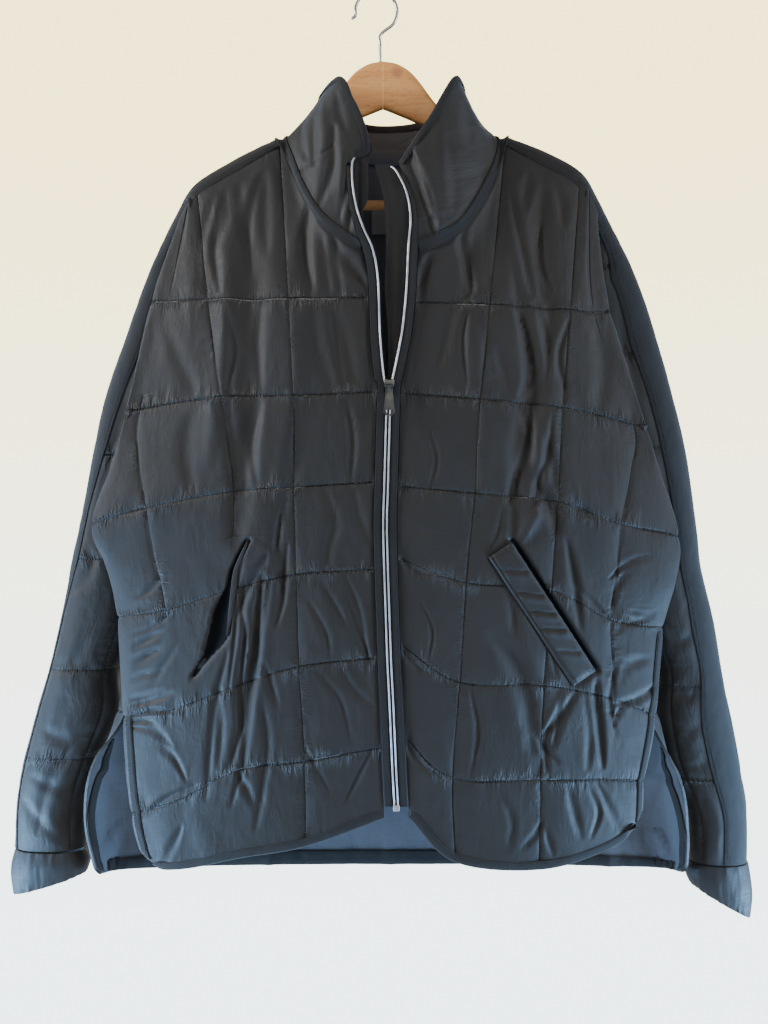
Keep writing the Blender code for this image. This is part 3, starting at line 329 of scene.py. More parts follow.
# Folds: height (a trough when negative), half width, then x and drop of each point of its path.
FOLDS = {
    "left": (
        (-6.1, 15.9, -128, 211, -126, 270, -125, 309, -128, 408, -135, 506, -140, 546),
        (-3.2, 7.2, -169, 203, -174, 226, -177, 243), (-3.5, 7.2, -157, 195, -155, 216, -163, 250),
        (-3.2, 7.2, -142, 188, -140, 216, -134, 250), (-3.5, 7.2, -116, 175, -116, 211, -112, 260),
        (-2.6, 7.2, -76, 236, -74, 272, -69, 308), (-2.6, 5.8, -57, 247, -53, 272, -50, 306),
        (-3.8, 7.2, -43, 253, -30, 274, -13, 294), (-2.3, 7.2, -46, 309, -34, 354, -24, 396),
        (-2.6, 8.7, -67, 314, -61, 359, -45, 400), (-3.8, 8.7, -120, 408, -130, 447, -133, 496),
        (-2.9, 7.2, -149, 408, -144, 447, -140, 506), (-2.9, 7.2, -92, 506, -100, 546, -94, 575, -102, 616),
        (-3.2, 4.5, -110, 557, -129, 593, -138, 619),
        (-6.2, 6.3, -116, 580, -120, 624, -123, 659, -131, 695, -136, 728, -146, 767),
        (-4.3, 4.5, -128, 624, -135, 664, -138, 703, -136, 734), (-3, 3.6, -114, 664, -107, 685, -100, 707),
        (-2.6, 5.8, -54, 496, -44, 526, -49, 550, -53, 575), (-2.3, 5.8, -27, 491, -20, 524, -9, 548),
        (-2.6, 3.6, -57, 585, -44, 610, -29, 634), (-3, 3.6, -34, 595, -22, 632, -9, 666),
        (-2.2, 3.6, -39, 668, -26, 691, -6, 707), (-3.2, 4.5, -141, 773, -131, 789, -123, 807),
        (-3.5, 3.6, -236, 823, -211, 802, -181, 788), (-2.4, 4.5, -158, 693, -156, 732, -159, 767),
        (-4.1, 3.6, -247, 654, -231, 644, -217, 637), (-3.2, 3.6, -246, 675, -231, 661, -218, 655),
        (-4.1, 3.6, -247, 711, -226, 705, -205, 697), (-4.3, 3.6, -247, 729, -230, 728, -206, 750),
        (-3, 3.6, -240, 603, -228, 595, -217, 581), (-3, 3.6, -197, 831, -206, 850, -216, 870),
        (-2.4, 3.6, -34, 801, -22, 777, -8, 750), (-2.4, 3.6, -73, 750, -61, 772, -49, 793),
        (-2.6, 8.7, -211, 339, -192, 380, -182, 403), (-2.9, 8.7, -187, 423, -191, 457, -185, 496),
        (3, 12, -88, 320, -84, 380, -90, 440, -100, 500),
        (3.3, 10.8, -152, 240, -150, 320, -160, 400, -168, 470),
        (-2.2, 2.6, -141, 590, -140, 614, -142, 644, -148, 693),
        (-2.6, 2.6, -131, 577, -135, 605, -132, 644, -138, 695), (-2.8, 3, -106, 571, -110, 605, -114, 636),
        (-3.6, 3.4, -90, 549, -94, 583, -95, 607, -102, 630), (-2.2, 2.6, -97, 520, -99, 541, -102, 557),
        (-3, 4, -149, 656, -161, 703, -168, 762, -172, 801),
        (-3, 4.5, -116, 703, -110, 742, -116, 792, -122, 829), (-2.4, 4, -133, 565, -146, 605, -155, 644),
        (-2.6, 3, -199, 649, -216, 672, -228, 693), (-2.8, 3.2, -226, 744, -205, 760, -191, 784),
        (-2.6, 3.4, -69, 605, -53, 636, -49, 659), (-2.6, 3.4, -34, 580, -20, 616, -12, 659),
        (-2.4, 3.4, -61, 673, -39, 703, -29, 742), (-2.6, 4.5, -49, 309, -43, 354, -35, 398),
        (-2.4, 4.5, -116, 309, -120, 354, -116, 400), (-3.4, 5, -34, 408, -27, 447, -29, 487),
        (-3, 4.5, -116, 410, -124, 452, -120, 494), (-3.4, 2.6, -250, 706, -236, 702, -214, 694),
        (-3.4, 2.4, -248, 722, -228, 716, -205, 716), (-3.4, 2.4, -250, 735, -232, 735, -210, 748),
        (-3, 2.4, -250, 668, -232, 660, -216, 652), (-3, 2.2, -250, 688, -236, 680, -214, 676),
        (-2.6, 2.4, -246, 640, -226, 632, -206, 618), (-3.6, 5.5, -66, 196, -74, 250, -66, 300),
        (-3.4, 5, -40, 220, -44, 262, -38, 304), (-3.4, 5, -120, 176, -132, 226, -128, 284),
        (-3, 4.5, -160, 206, -166, 250, -158, 300), (-3.4, 5, -150, 320, -144, 360, -150, 398),
        (-3.6, 4.5, -110, 560, -118, 610, -124, 680, -134, 760, -146, 806),
    ),
    "right": (
        (-6.4, 13, 165, 196, 160, 223, 159, 260, 163, 300, 169, 315, 165, 359),
        (-2.9, 5.8, 151, 177, 148, 193, 146, 214), (-2.9, 5.8, 177, 187, 183, 206, 185, 231),
        (-3.2, 7.2, 131, 265, 136, 300, 140, 315, 142, 331),
        (-7.5, 11.6, 140, 327, 146, 359, 150, 390, 148, 410, 143, 432, 136, 457, 132, 506, 130, 546),
        (-2.6, 7.2, 115, 359, 123, 380, 128, 405), (-2.6, 7.2, 91, 248, 85, 295, 77, 321),
        (-2.6, 7.2, 74, 309, 64, 349, 56, 380), (-2.9, 7.2, 57, 262, 45, 278, 36, 296),
        (-2.3, 5.8, 49, 265, 41, 290, 39, 309), (-6.1, 10.2, 144, 447, 148, 477, 159, 501, 170, 518, 172, 536),
        (3.6, 6, 155, 511, 148, 528, 137, 547), (-3.8, 5.8, 190, 504, 197, 514, 207, 522),
        (-4.9, 4.5, 183, 546, 189, 575, 194, 605, 197, 632), (-2.7, 3.6, 195, 593, 207, 605, 220, 617),
        (-3.5, 4.5, 125, 597, 130, 616, 132, 638), (-5.4, 10.8, 110, 640, 133, 668, 144, 703, 149, 750),
        (-3.8, 4.5, 193, 695, 178, 719, 169, 749), (-3.5, 3.6, 152, 735, 162, 750, 174, 764),
        (-5.9, 4.5, 214, 683, 214, 705, 218, 742, 221, 770), (-2.7, 3.6, 160, 823, 151, 837, 138, 849),
        (-2.7, 3.6, 163, 831, 167, 843, 171, 856), (-3.2, 4.5, 185, 788, 192, 816, 199, 839),
        (-2.7, 3.6, 216, 788, 228, 813, 238, 833), (-2.2, 3.6, 20, 563, 33, 576, 47, 580),
        (-2.2, 3.6, 22, 742, 37, 762, 55, 774), (-2.2, 3.6, 22, 654, 34, 668, 47, 675),
        (-3.2, 3.6, 177, 707, 173, 723, 157, 740), (-3.2, 7.2, 162, 447, 169, 477, 173, 498),
        (-3.8, 3.6, 268, 664, 256, 668, 248, 675), (-4.1, 3.6, 275, 693, 261, 703, 234, 709),
        (-3.5, 3.6, 271, 616, 261, 626, 244, 629), (-3.2, 4.5, 202, 703, 207, 737, 205, 772),
        (-2.9, 10.2, 216, 339, 222, 380, 216, 420), (3, 12, 90, 330, 98, 390, 104, 440, 100, 500),
        (-3.2, 3.6, 89, 309, 81, 349, 85, 393), (-3.4, 3.8, 154, 309, 165, 354, 163, 400),
        (-3, 3.4, 138, 410, 148, 447, 142, 494), (-3.6, 3.4, 169, 423, 165, 457, 156, 487, 148, 526),
        (-2.8, 3, 120, 511, 116, 536, 106, 557), (-2.8, 3, 177, 614, 169, 644, 173, 679),
        (-3.2, 3.4, 89, 693, 96, 733, 89, 777), (-3.2, 3.2, 177, 703, 163, 742, 165, 782),
        (-2.6, 2.8, 236, 664, 228, 703, 234, 742), (-2.6, 2.8, 256, 565, 238, 585, 228, 614),
        (-2.4, 2.8, 39, 605, 51, 634, 47, 664), (-2.8, 3.2, 118, 792, 130, 821, 126, 851),
        (-2.8, 3, 207, 792, 217, 816, 209, 841), (-2.6, 3.2, 47, 437, 55, 467, 49, 496),
        (-3.4, 2.6, 268, 560, 246, 568, 226, 584), (-3.2, 2.4, 262, 612, 248, 622, 232, 640),
        (-3.2, 2.4, 260, 660, 246, 668, 238, 690), (-3, 2.4, 256, 706, 240, 712, 232, 730),
        (-3.8, 5.5, 44, 180, 36, 226, 30, 268, 20, 300), (-4.6, 5, 84, 206, 80, 250, 90, 296, 84, 308),
        (-4.6, 4.6, 132, 206, 140, 246, 146, 282, 150, 306), (-4.2, 5, 166, 210, 160, 262, 172, 300),
        (-5.2, 4.4, 134, 318, 146, 352, 148, 384, 138, 404), (-5, 4.6, 148, 410, 146, 450, 132, 490, 126, 510),
        (-3.6, 4, 186, 330, 176, 366, 182, 396),
    ),
    "back": (
        (-5.2, 14.5, -150, 240, -146, 320, -152, 430, -160, 540),
        (-4.6, 13, 168, 230, 160, 320, 166, 420, 170, 520), (-3.5, 10.2, -60, 190, -64, 260, -58, 330),
        (-3.5, 10.2, 84, 190, 88, 260, 80, 340), (-3.2, 11.6, 10, 320, 4, 420, 12, 500),
        (-4.1, 5.4, -226, 560, -196, 600, -150, 640), (-4.1, 5.4, 240, 570, 206, 610, 160, 650),
        (-3.2, 4.5, -110, 640, -104, 700, -112, 760), (-3.2, 4.5, 120, 640, 126, 710, 116, 770),
        (-2.7, 4.5, 30, 560, 24, 620, 34, 680), (-3, 4.5, -240, 660, -214, 672, -190, 690),
        (-3, 4.5, 262, 668, 236, 680, 208, 692), (3.3, 14.4, -100, 360, -96, 460, -104, 560),
        (3.3, 14.4, 112, 360, 106, 460, 116, 560), (-4.5, 3, -270, 842, -284, 862, -288, 884),
        (3.5, 2.6, -276, 836, -270, 860, -278, 886), (-4.5, 3, 280, 840, 296, 862, 300, 884),
        (3.5, 2.6, 288, 834, 282, 860, 290, 886),
        (-2.6, 5, -306, 762, -290, 778, -276, 806, -262, 828, -246, 836),
        (-2.6, 5, 318, 756, 300, 774, 284, 806, 276, 826, 258, 838),
    ),
    "sleeve left": (
        (-2.4, 11.5, -262, 400, -276, 460, -292, 530, -300, 600), (-1.9, 8.6, -290, 560, -306, 590, -322, 600),
        (-1.9, 8.6, -300, 650, -318, 672, -336, 676), (-2.1, 8.6, -296, 742, -318, 752, -344, 742),
        (-2, 7.2, -300, 782, -326, 800, -356, 790), (-2.4, 7.2, -316, 760, -332, 782, -344, 812, -350, 846),
        (-2, 7.2, -370, 812, -352, 832, -330, 852), (-1.7, 7.2, -310, 818, -322, 838, -326, 860),
        (-1.7, 8.6, -226, 300, -232, 350, -246, 400), (1.6, 11.5, -310, 620, -324, 680, -338, 740),
    ),
    "sleeve right": (
        (-2.4, 11.5, 284, 400, 298, 460, 308, 530, 312, 600), (-2.1, 7.2, 300, 700, 314, 708, 330, 700),
        (-2.1, 7.2, 306, 736, 322, 742, 340, 730), (-2, 7.2, 318, 780, 334, 776, 350, 764),
        (-2, 5.8, 318, 800, 320, 826, 318, 858), (-1.9, 7.2, 330, 812, 336, 836, 334, 866),
        (-1.7, 8.6, 246, 300, 254, 350, 266, 400), (-2, 7.2, 296, 640, 308, 650, 322, 640),
    ),
    "collar": (
        (-3.4, 5.6, -66, 122, -67, 146, -66, 172), (-4, 6.2, -46, 136, -46, 171, -51, 192, -60, 214),
        (-2.8, 4.4, -30, 185, -34, 206, -39, 228), (-2.3, 3.8, -24, 196, -27, 220, -31, 244),
        (2.5, 6.2, -37, 168, -37, 200, -34, 232), (-2.1, 5, -80, 128, -78, 150, -72, 168),
        (1.9, 6.2, -57, 110, -56, 140, -58, 172), (-1.5, 5, -44, 100, -40, 122, -34, 140),
        (-2.5, 7.5, 86, 112, 92, 150, 100, 168), (-1.7, 7.5, 66, 150, 70, 190, 72, 222),
        (2.1, 11.2, 58, 130, 62, 170, 66, 210), (-1.7, 6.2, 100, 140, 104, 160, 102, 190),
        (2.4, 2.4, 30, 166, 39, 190, 47, 214, 54, 244), (-2.6, 3.6, 33.5, 166, 42.5, 190, 50.5, 214, 57.5, 244),
    ),
}

# Stitched lines beside the pockets: x and drop.
SCORED = {
    "left": (
        ((-126.9, 538.7), (-116.0, 546.5), (-104.2, 555.4)),
        ((-104.2, 555.4), (-118.0, 575.1), (-131.8, 600.7), (-137.7, 612.5)),
    ),
    "right": (),
}


def frame_points(points):
    """Table millimetres (x, drop, y) to metres in the part's frame."""
    points = np.asarray(points, float)
    x, drop, y = points[..., 0], points[..., 1], points[..., 2]
    return MM * np.stack([x - REST_X, y, REST_DROP - drop], axis=-1)


def spline(points, at):
    """Points of a smooth curve through all the given ones, at the given fractional indices."""
    points = np.asarray(points, float)
    last = len(points) - 1
    padded = np.concatenate([[2 * points[0] - points[1]], points, [2 * points[-1] - points[-2]]])
    at = np.clip(np.asarray(at, float), 0, last)
    index = np.minimum(at.astype(int), last - 1)
    t = (at - index).reshape((-1,) + (1,) * (points.ndim - 1))
    a, b, c, d = (padded[index + step] for step in range(4))
    cubic = 3 * b - a - 3 * c + d
    return 0.5 * (2 * b + (c - a) * t + (2 * a - 5 * b + 4 * c - d) * t**2 + cubic * t**3)


def net(rows, rows_at, columns_at):
    """A grid of points on the smooth surface through a table of rows of points."""
    across = [row(columns_at) if callable(row) else spline(row, columns_at) for row in rows]
    return spline(np.stack(across), rows_at)


def unit(vectors):
    return vectors / np.maximum(np.linalg.norm(vectors, axis=-1, keepdims=True), 1e-9)


def smooth(low, high, value):
    """0 below low, 1 above high, and a smooth step between them."""
    t = np.clip((np.asarray(value, float) - low) / (high - low), 0, 1)
    return t * t * (3 - 2 * t)


def steps(counts, crowd=0.0):
    """Places along a table's rows or columns, a count of them for each unit, crowded to its ends."""
    shares = [np.arange(count) / count for count in counts]
    parts = [at + share - crowd * np.sin(2 * np.pi * share) / (2 * np.pi) for at, share in enumerate(shares)]
    return np.concatenate([*parts, [len(counts)]])


def lengths(grid, axis):
    """Running length of a grid along one axis."""
    step = np.linalg.norm(np.diff(grid, axis=axis), axis=-1)
    start = np.zeros_like(np.take(step, [0], axis=axis))
    return np.concatenate([start, np.cumsum(step, axis=axis)], axis=axis)


def noise(u, v, seed):
    """Smooth random values from -1 to 1, one bump for each unit of u and v."""
    lattice = np.random.default_rng(seed).uniform(-1, 1, (128, 128))
    i, j = np.floor(u).astype(int), np.floor(v).astype(int)
    s, t = u - i, v - j
    s, t = s * s * (3 - 2 * s), t * t * (3 - 2 * t)
    near, far = (
        lattice[i % 128, row % 128] * (1 - s) + lattice[(i + 1) % 128, row % 128] * s for row in (j, j + 1)
    )
    return near * (1 - t) + far * t


def bell(value, width):
    """1 at zero, falling away within about a width on both sides."""
    return np.exp(-((value / width) ** 2))


def grid_normals(grid, sewn=None):
    """Unit normals of a grid whose side columns are one from row sewn down."""
    along = np.gradient(grid, axis=0)
    across = np.gradient(grid, axis=1)
    if sewn is not None:
        turn = grid[sewn:, 1] - grid[sewn:, -2]
        across[sewn:, 0] = turn
        across[sewn:, -1] = turn
    return unit(np.cross(across, along))


class Cloth:
    """A panel as a fine grid of points in table millimetres, with its outward normals."""

    def __init__(self, grid, outward, rows=None, columns=None, sewn=None):
        self.rows = np.arange(len(grid)) if rows is None else rows
        self.columns = np.arange(grid.shape[1]) if columns is None else columns
        self.outward = outward
        self.sewn = sewn
        self.reshape(grid)
        self.base, self.base_out = self.grid, self.out
        self.u, self.v = lengths(grid, 1), lengths(grid, 0)
        self.seam = np.zeros(grid.shape[:2])
        self.pull = np.zeros((2, *grid.shape[:2]))

    def reshape(self, grid):
        self.grid = grid
        self.out = self.outward * grid_normals(grid, self.sewn)

    def lift(self, height):
        """Moves every point out by its height."""
        self.reshape(self.grid + self.out * height[..., None])

    def along(self, rows_at, columns_at):
        """Points and normals at pairs of row and column places."""
        r = np.interp(rows_at, self.rows, np.arange(len(self.rows)))
        c = np.interp(columns_at, self.columns, np.arange(len(self.columns)))
        i = np.minimum(r.astype(int), len(self.rows) - 2)
        j = np.minimum(c.astype(int), len(self.columns) - 2)
        s, t = (r - i)[..., None], (c - j)[..., None]

        def mix(values):
            near = values[i, j] * (1 - s) + values[i + 1, j] * s
            far = values[i, j + 1] * (1 - s) + values[i + 1, j + 1] * s
            return near * (1 - t) + far * t

        return mix(self.grid), unit(mix(self.out))

    def at(self, rows_at, columns_at):
        """Points and normals on a grid of row and column places."""
        r, c = np.meshgrid(np.asarray(rows_at, float), np.asarray(columns_at, float), indexing="ij")
        return self.along(r, c)


# Shapes of the panels ------------------------------------------------------------------------


def top_row(neck, shoulder, side):
    """The upper edge of a front: the neckline as far as the first column, then the shoulder."""
    ridge = [(x, drop, side * y) for x, drop, y in shoulder]

    def row(columns_at):
        near = np.clip(columns_at, 0, 1) * (len(neck) - 1)
        far = np.clip(columns_at - 1, 0, None)
        return np.where((columns_at <= 1)[:, None], spline(neck, near), spline(ridge, far))

    return row


def front_row(xs, drops, depths):
    """One quilted line of a front: nearly flat in the middle, rounding to the side fold."""
    centre, fold, seam = depths
    share = (np.array(xs[:5]) - xs[0]) / (xs[4] - xs[0])
    depth = centre + (fold - centre) * share**3
    return list(zip(xs, (*drops, drops[-1]), (*depth, seam)))


def back_top(columns_at):
    """The upper edge of the back: both shoulders with the neckline between them."""
    outer = [SHOULDER_LEFT[index] for index in (4, 3, 1, 0)]
    far = [SHOULDER_RIGHT[index] for index in (0, 1, 3, 4)]
    column = columns_at[:, None]
    middle = spline(NECK_BACK, np.clip((columns_at - 3) / 2, 0, 1) * (len(NECK_BACK) - 1))
    side = np.where(column <= 3, spline(outer, columns_at), spline(far, columns_at - 5))
    return np.where((column > 3) & (column < 5), middle, side)


def back_row(drops, left, right, middle_depth):
    """One level of the back from its left seam to its right seam."""
    (seam_left, fold_left), (fold_right, seam_right) = left, right
    middle = (fold_left[0] + fold_right[0]) / 2
    inner, outer = BACK_QUARTER
    points = [(seam_left[0], drops[1], seam_left[1]), (fold_left[0], drops[1], fold_left[1])]
    for share in (-outer, -inner, 0.0, inner, outer):
        fold, side_drop = (fold_left, drops[1]) if share < 0 else (fold_right, drops[2])
        drop = drops[0] + (side_drop - drops[0]) * share**2
        depth = middle_depth + (fold[1] - middle_depth) * abs(share) ** 3
        points.append((middle + (fold[0] - middle) * abs(share), drop, depth))
    points += [(fold_right[0], drops[2], fold_right[1]), (seam_right[0], drops[2], seam_right[1])]
    return points


def sleeve_section(row, turn):
    """Points of a sleeve's section at the given angles: 0 is the outer edge, half a turn the inner."""
    drop, outer, inner, middle, half, opened = row
    turn = np.asarray(turn, float)
    x = outer + (inner - outer) * (1 - np.cos(turn)) / 2
    bulge = np.sign(turn) * np.abs(np.sin(turn)) ** 0.8
    held = np.where(np.abs(turn) > math.pi / 2, np.sign(turn), bulge)
    y = middle + half * (bulge + (held - bulge) * opened)
    return np.stack([x, np.full_like(x, drop), y], axis=-1)


def placket_width(drop):
    return np.interp(drop, *zip(*PLACKET_WIDTH))


def zip_side(edge, sign, open_offset, closed_offset):
    """A line beside the zip, open above the slider and closed below, offset outwards."""
    parts = ((edge, open_offset), (ZIP_CLOSED, closed_offset))
    return np.concatenate([np.array(part, float) + (sign * offset, 0, 0) for part, offset in parts])


def placket_edge(edge, sign):
    """The outer line of a placket strip with the seam gap beyond it."""
    line = zip_side(edge, sign, COIL_WIDTH / 2 + 3 * SEAM_GAP, CHAIN_WIDTH / 2 + 3 * SEAM_GAP)
    line = spline(line, np.linspace(0, len(line) - 1, 6 * len(line)))
    line[:, 0] += sign * placket_width(line[:, 1])
    return line


def zip_shift(column, edge, sign):
    """How far each point of a column of a panel moves to lie on the placket's outer line."""
    line = placket_edge(edge, sign)
    return np.interp(column[:, 1], line[:, 1], line[:, 0]) - column[:, 0]


# Relief: quilted cells, the gathers at their stitching, and the folds -------------------------


def seam_places(places, lengths_there, at):
    """Running length at a row or column place, for every line of the grid across it."""
    index = np.interp(at, places, np.arange(len(places)))
    low = min(int(index), len(places) - 2)
    return lengths_there[low] + (lengths_there[low + 1] - lengths_there[low]) * (index - low)


def either_way(cloth, seam):
    """What a seam runs along: whether it's a row, its place, and which steps of the cloth it crosses."""
    kind, place, first, last = seam
    steps_there = cloth.columns if kind == "row" else cloth.rows
    return kind == "row", place, (steps_there >= first) & (steps_there <= last)


def quilting(cloth, seams, puff, reach, gather, seed):
    """Heights of padded cells between sewn lines. Each seam is (kind, place, first, last)."""
    across, along = lengths(cloth.grid, 1), lengths(cloth.grid, 0)
    nearest = np.full(across.shape, 1e3)
    height = np.zeros(across.shape)
    for index, seam in enumerate(seams):
        row, place, live = either_way(cloth, seam)
        if row:
            apart, run = along - seam_places(cloth.rows, along, place), cloth.u
        else:
            apart, run = across - seam_places(cloth.columns, across.T, place)[:, None], cloth.v
        away = np.where(live[None, :] if row else live[:, None], np.abs(apart), 1e3)
        nearest = np.minimum(nearest, away)
        side = np.sign(apart) * 7.3
        first_seed = seed + 10 * index
        patchy = smooth(-0.25, 0.45, noise(run / 27, 0.4 * side, first_seed))
        patchy = (0.22 + 0.78 * patchy) if row else 0.35 * patchy
        longer = noise(run / 8 + side, apart / 45, first_seed + 2)
        height += gather * patchy * longer * np.exp(-((away / 20) ** 1.3)) * smooth(0, 3, away)
        reached = 3.2 + 5.5 * smooth(-0.5, 0.8, noise(run / 4.5 + side, 0 * apart, first_seed + 3))
        pull = cloth.pull[0 if row else 1]
        np.maximum(pull, patchy * np.exp(-((away / reached) ** 1.6)), out=pull)
        thread = (0.45 + 0.55 * patchy if row else 0.34 + 0.5 * patchy) * bell(away, 0.95)
        cloth.seam = np.maximum(cloth.seam, thread)
    return height + puff * (0.4 - np.exp(-nearest / reach)) - 0.8 * cloth.seam


def crease(cloth, height, width, path):
    """A soft fold along a path of x and drop; it dies away at both ends."""
    path = spline(path, np.linspace(0, len(path) - 1, 7 * (len(path) - 1) + 1))
    place = cloth.grid[..., :2]
    low, high = path.min(axis=0) - 3.5 * width, path.max(axis=0) + 3.5 * width
    near = ((place > low) & (place < high)).all(axis=-1)
    points = place[near]
    if not len(points):
        return np.zeros(near.shape)
    ends, way = path[:-1], np.diff(path, axis=0)
    long = (way**2).sum(axis=1)
    share = ((points[:, None] - ends) * way).sum(axis=-1) / long
    share = np.clip(share, 0, 1)
    away = np.linalg.norm(points[:, None] - ends - share[..., None] * way, axis=-1)
    best = away.argmin(axis=1)
    pick = np.arange(len(points))
    t = (best + share[pick, best]) / len(ends)
    apart = away[pick, best] / (width * (0.55 + 0.45 * np.sin(np.pi * t)))
    shape = bell(apart, 1) - 0.32 * bell(apart, 2.1)
    found = np.zeros(near.shape)
    found[near] = height * shape * np.sin(np.pi * np.clip(0.04 + 0.92 * t, 0, 1)) ** 0.55
    return found


def creases(cloth, name):
    return sum(crease(cloth, height, width, np.reshape(path, (-1, 2))) for height, width, *path in FOLDS[name])


def untangled(cloth):
    """Fades relief away where a grid runs so close that its rows would cross."""
    apart = [np.linalg.norm(np.gradient(cloth.grid, axis=axis), axis=-1) for axis in (0, 1)]
    return smooth(0.08, 0.6, apart[0]) * smooth(0.08, 0.6, apart[1])


def scored(cloth, paths):
    """Stitched lines laid anywhere on a cloth: a fine groove, kept as sewing for the finish."""
    height = 0.0
    for path in paths:
        line = -crease(cloth, -1.0, 1.3, path)
        cloth.seam = np.maximum(cloth.seam, 0.7 * np.clip(line, 0, 1))
        height = height - 0.7 * line
    return height


def crumple(cloth, seed, tall=1.0, long=60.0):
    """Small uneven ripples that run mostly down the cloth."""
    across, along = cloth.u, cloth.v
    sway = 16 * noise(across / 70, along / 90, seed)
    wide = noise((across + sway) / 21, along / long, seed + 1)
    ridge = 1 - 2 * np.abs(noise((across + 0.6 * sway) / 13 + 9, along / (0.7 * long), seed + 2))
    slant = 1 - 2 * np.abs(noise((across + 0.7 * along) / 17, (along - across) / 34, seed + 3))
    fine = noise((across + sway) / 5.5, along / 15, seed + 4)
    where = smooth(-0.35, 0.6, noise(across / 60, along / 60, seed + 5))
    return tall * (0.85 * wide + 0.14 * ridge + 0.24 * slant * where + 0.08 * fine)
# Making the pieces ---------------------------------------------------------------------------

SEWN = []  # every sewn line as its points and outward normals, filled as the pieces are made


def ride(made, node=None, body=JACKET):
    """Hands a finished piece to the body that carries it, and hides the part it stands for."""
    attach(made, body)
    if node:
        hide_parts(node)


def sew(points, out, lift=0.12):
    """Keeps a line to be stitched, a little above the cloth."""
    SEWN.append((points + out * lift, out))


def build(name, mesh, look, sharp=50):
    """An object of the finished mesh, smooth up to an angle."""
    mesh.shade_smooth()
    mesh.set_sharp_from_angle(angle=math.radians(sharp))
    mesh.materials.append(finishes()[look])
    made = bpy.data.objects.new(name, mesh)
    bpy.context.scene.collection.objects.link(made)
    return made


def set_uv(mesh, uv):
    """Keeps each point's place on the cloth."""
    layer = mesh.uv_layers.new(name="cloth")
    corners = np.zeros(len(mesh.loops), np.int32)
    mesh.loops.foreach_get("vertex_index", corners)
    layer.data.foreach_set("uv", np.asarray(uv, np.float32)[corners].ravel())


def set_vectors(mesh, name, values):
    """Keeps three values for each point under a name."""
    layer = mesh.attributes.new(name, "FLOAT_VECTOR", "POINT")
    layer.data.foreach_set("vector", np.asarray(values, np.float32).ravel())


def border(fine, coarse):
    """Faces that join a fine row of points to a coarse one, each coarse step to its fine steps."""
    each = (len(fine) - 1) // (len(coarse) - 1)
    return [
        [*fine[at * each : (at + 1) * each + 1], coarse[at + 1], coarse[at]] for at in range(len(coarse) - 1)
    ]


def shell(name, cloth, thickness, look, node=None, skip=1, inner=None, lining=None):
    """A closed wall: the cloth's fine face, a coarser face behind it and the edges between."""
    face = cloth.grid
    rows, columns = face.shape[:2]
    pick = np.ix_(range(0, rows, skip), range(0, columns, skip))
    back = (face - cloth.out * thickness if inner is None else inner)[pick]
    uv = MM * np.stack([cloth.u, cloth.v], axis=-1)
    fine = np.arange(rows * columns).reshape(rows, columns)
    coarse = rows * columns + np.arange(back.shape[0] * back.shape[1]).reshape(back.shape[:2])
    open_rows = rows
    if cloth.sewn is not None:
        fine[cloth.sewn :, -1] = fine[cloth.sewn :, 0]
        coarse[cloth.sewn // skip :, -1] = coarse[cloth.sewn // skip :, 0]
        open_rows = cloth.sewn + 1
    faces = []
    for grid, turned in ((fine, 1), (coarse, -1)):
        quads = np.stack([grid[:-1, :-1], grid[:-1, 1:], grid[1:, 1:], grid[1:, :-1]], axis=-1)
        faces += quads.reshape(-1, 4)[:, ::turned].tolist()
    sides = [(fine[0], coarse[0], -1), (fine[-1], coarse[-1], 1)]
    if open_rows > 1:
        upper, upper_coarse = fine[:open_rows], coarse[: (open_rows - 1) // skip + 1]
        sides += [(upper[:, 0], upper_coarse[:, 0], 1), (upper[:, -1], upper_coarse[:, -1], -1)]
    for fine_line, coarse_line, turned in sides:
        faces += [edge[::turned] for edge in border(fine_line.tolist(), coarse_line.tolist())]
    points = np.concatenate([face.reshape(-1, 3), back.reshape(-1, 3)])
    mesh = bpy.data.meshes.new(name)
    mesh.from_pydata(frame_points(points).tolist(), [], [face[:: cloth.outward] for face in faces])
    set_uv(mesh, np.concatenate([uv.reshape(-1, 2), uv[pick].reshape(-1, 2)]))
    made = build(name, mesh, look)
    if lining:
        mesh.materials.append(finishes()[lining])
        which = np.zeros(len(faces), np.int32)
        which[(rows - 1) * (columns - 1) :][: (back.shape[0] - 1) * (back.shape[1] - 1)] = 1
        mesh.polygons.foreach_set("material_index", which)
    sewn = np.zeros((len(points), 3))
    sewn[: rows * columns] = np.stack([cloth.seam, *cloth.pull], axis=-1).reshape(-1, 3)
    set_vectors(mesh, "sewn", sewn)
    ride(made, node)


def layer(points, out, height, outward):
    """A cloth raised off a surface's points along their normals."""
    made = Cloth(points, outward)
    made.grid, made.out = points + out * height, out
    return made


def ring_mesh(name, rings):
    """A closed mesh through rings of points in metres, its faces turned outwards."""
    count, around = rings.shape[:2]
    index = np.arange(count * around).reshape(count, around)
    here, after = index[:-1], index[1:]
    quads = np.stack([here, np.roll(here, -1, 1), np.roll(after, -1, 1), after], axis=-1).reshape(-1, 4)
    mesh = bpy.data.meshes.new(name)
    caps = [index[0][::-1].tolist(), index[-1].tolist()]
    mesh.from_pydata(rings.reshape(-1, 3).tolist(), [], quads.tolist() + caps)
    shape = bmesh.new()
    shape.from_mesh(mesh)
    bmesh.ops.recalc_face_normals(shape, faces=shape.faces)
    shape.to_mesh(mesh)
    shape.free()
    return mesh


def loft(name, rings, look, node=None, sharp=50, uv=None):
    """A closed piece through rings of table points."""
    mesh = ring_mesh(name, frame_points(rings))
    if uv is not None:
        set_uv(mesh, uv)
    made = build(name, mesh, look, sharp)
    ride(made, node)


def running(path):
    """Distance along a path at each of its points."""
    return np.concatenate([[0], np.cumsum(np.linalg.norm(np.diff(path, axis=0), axis=1))])


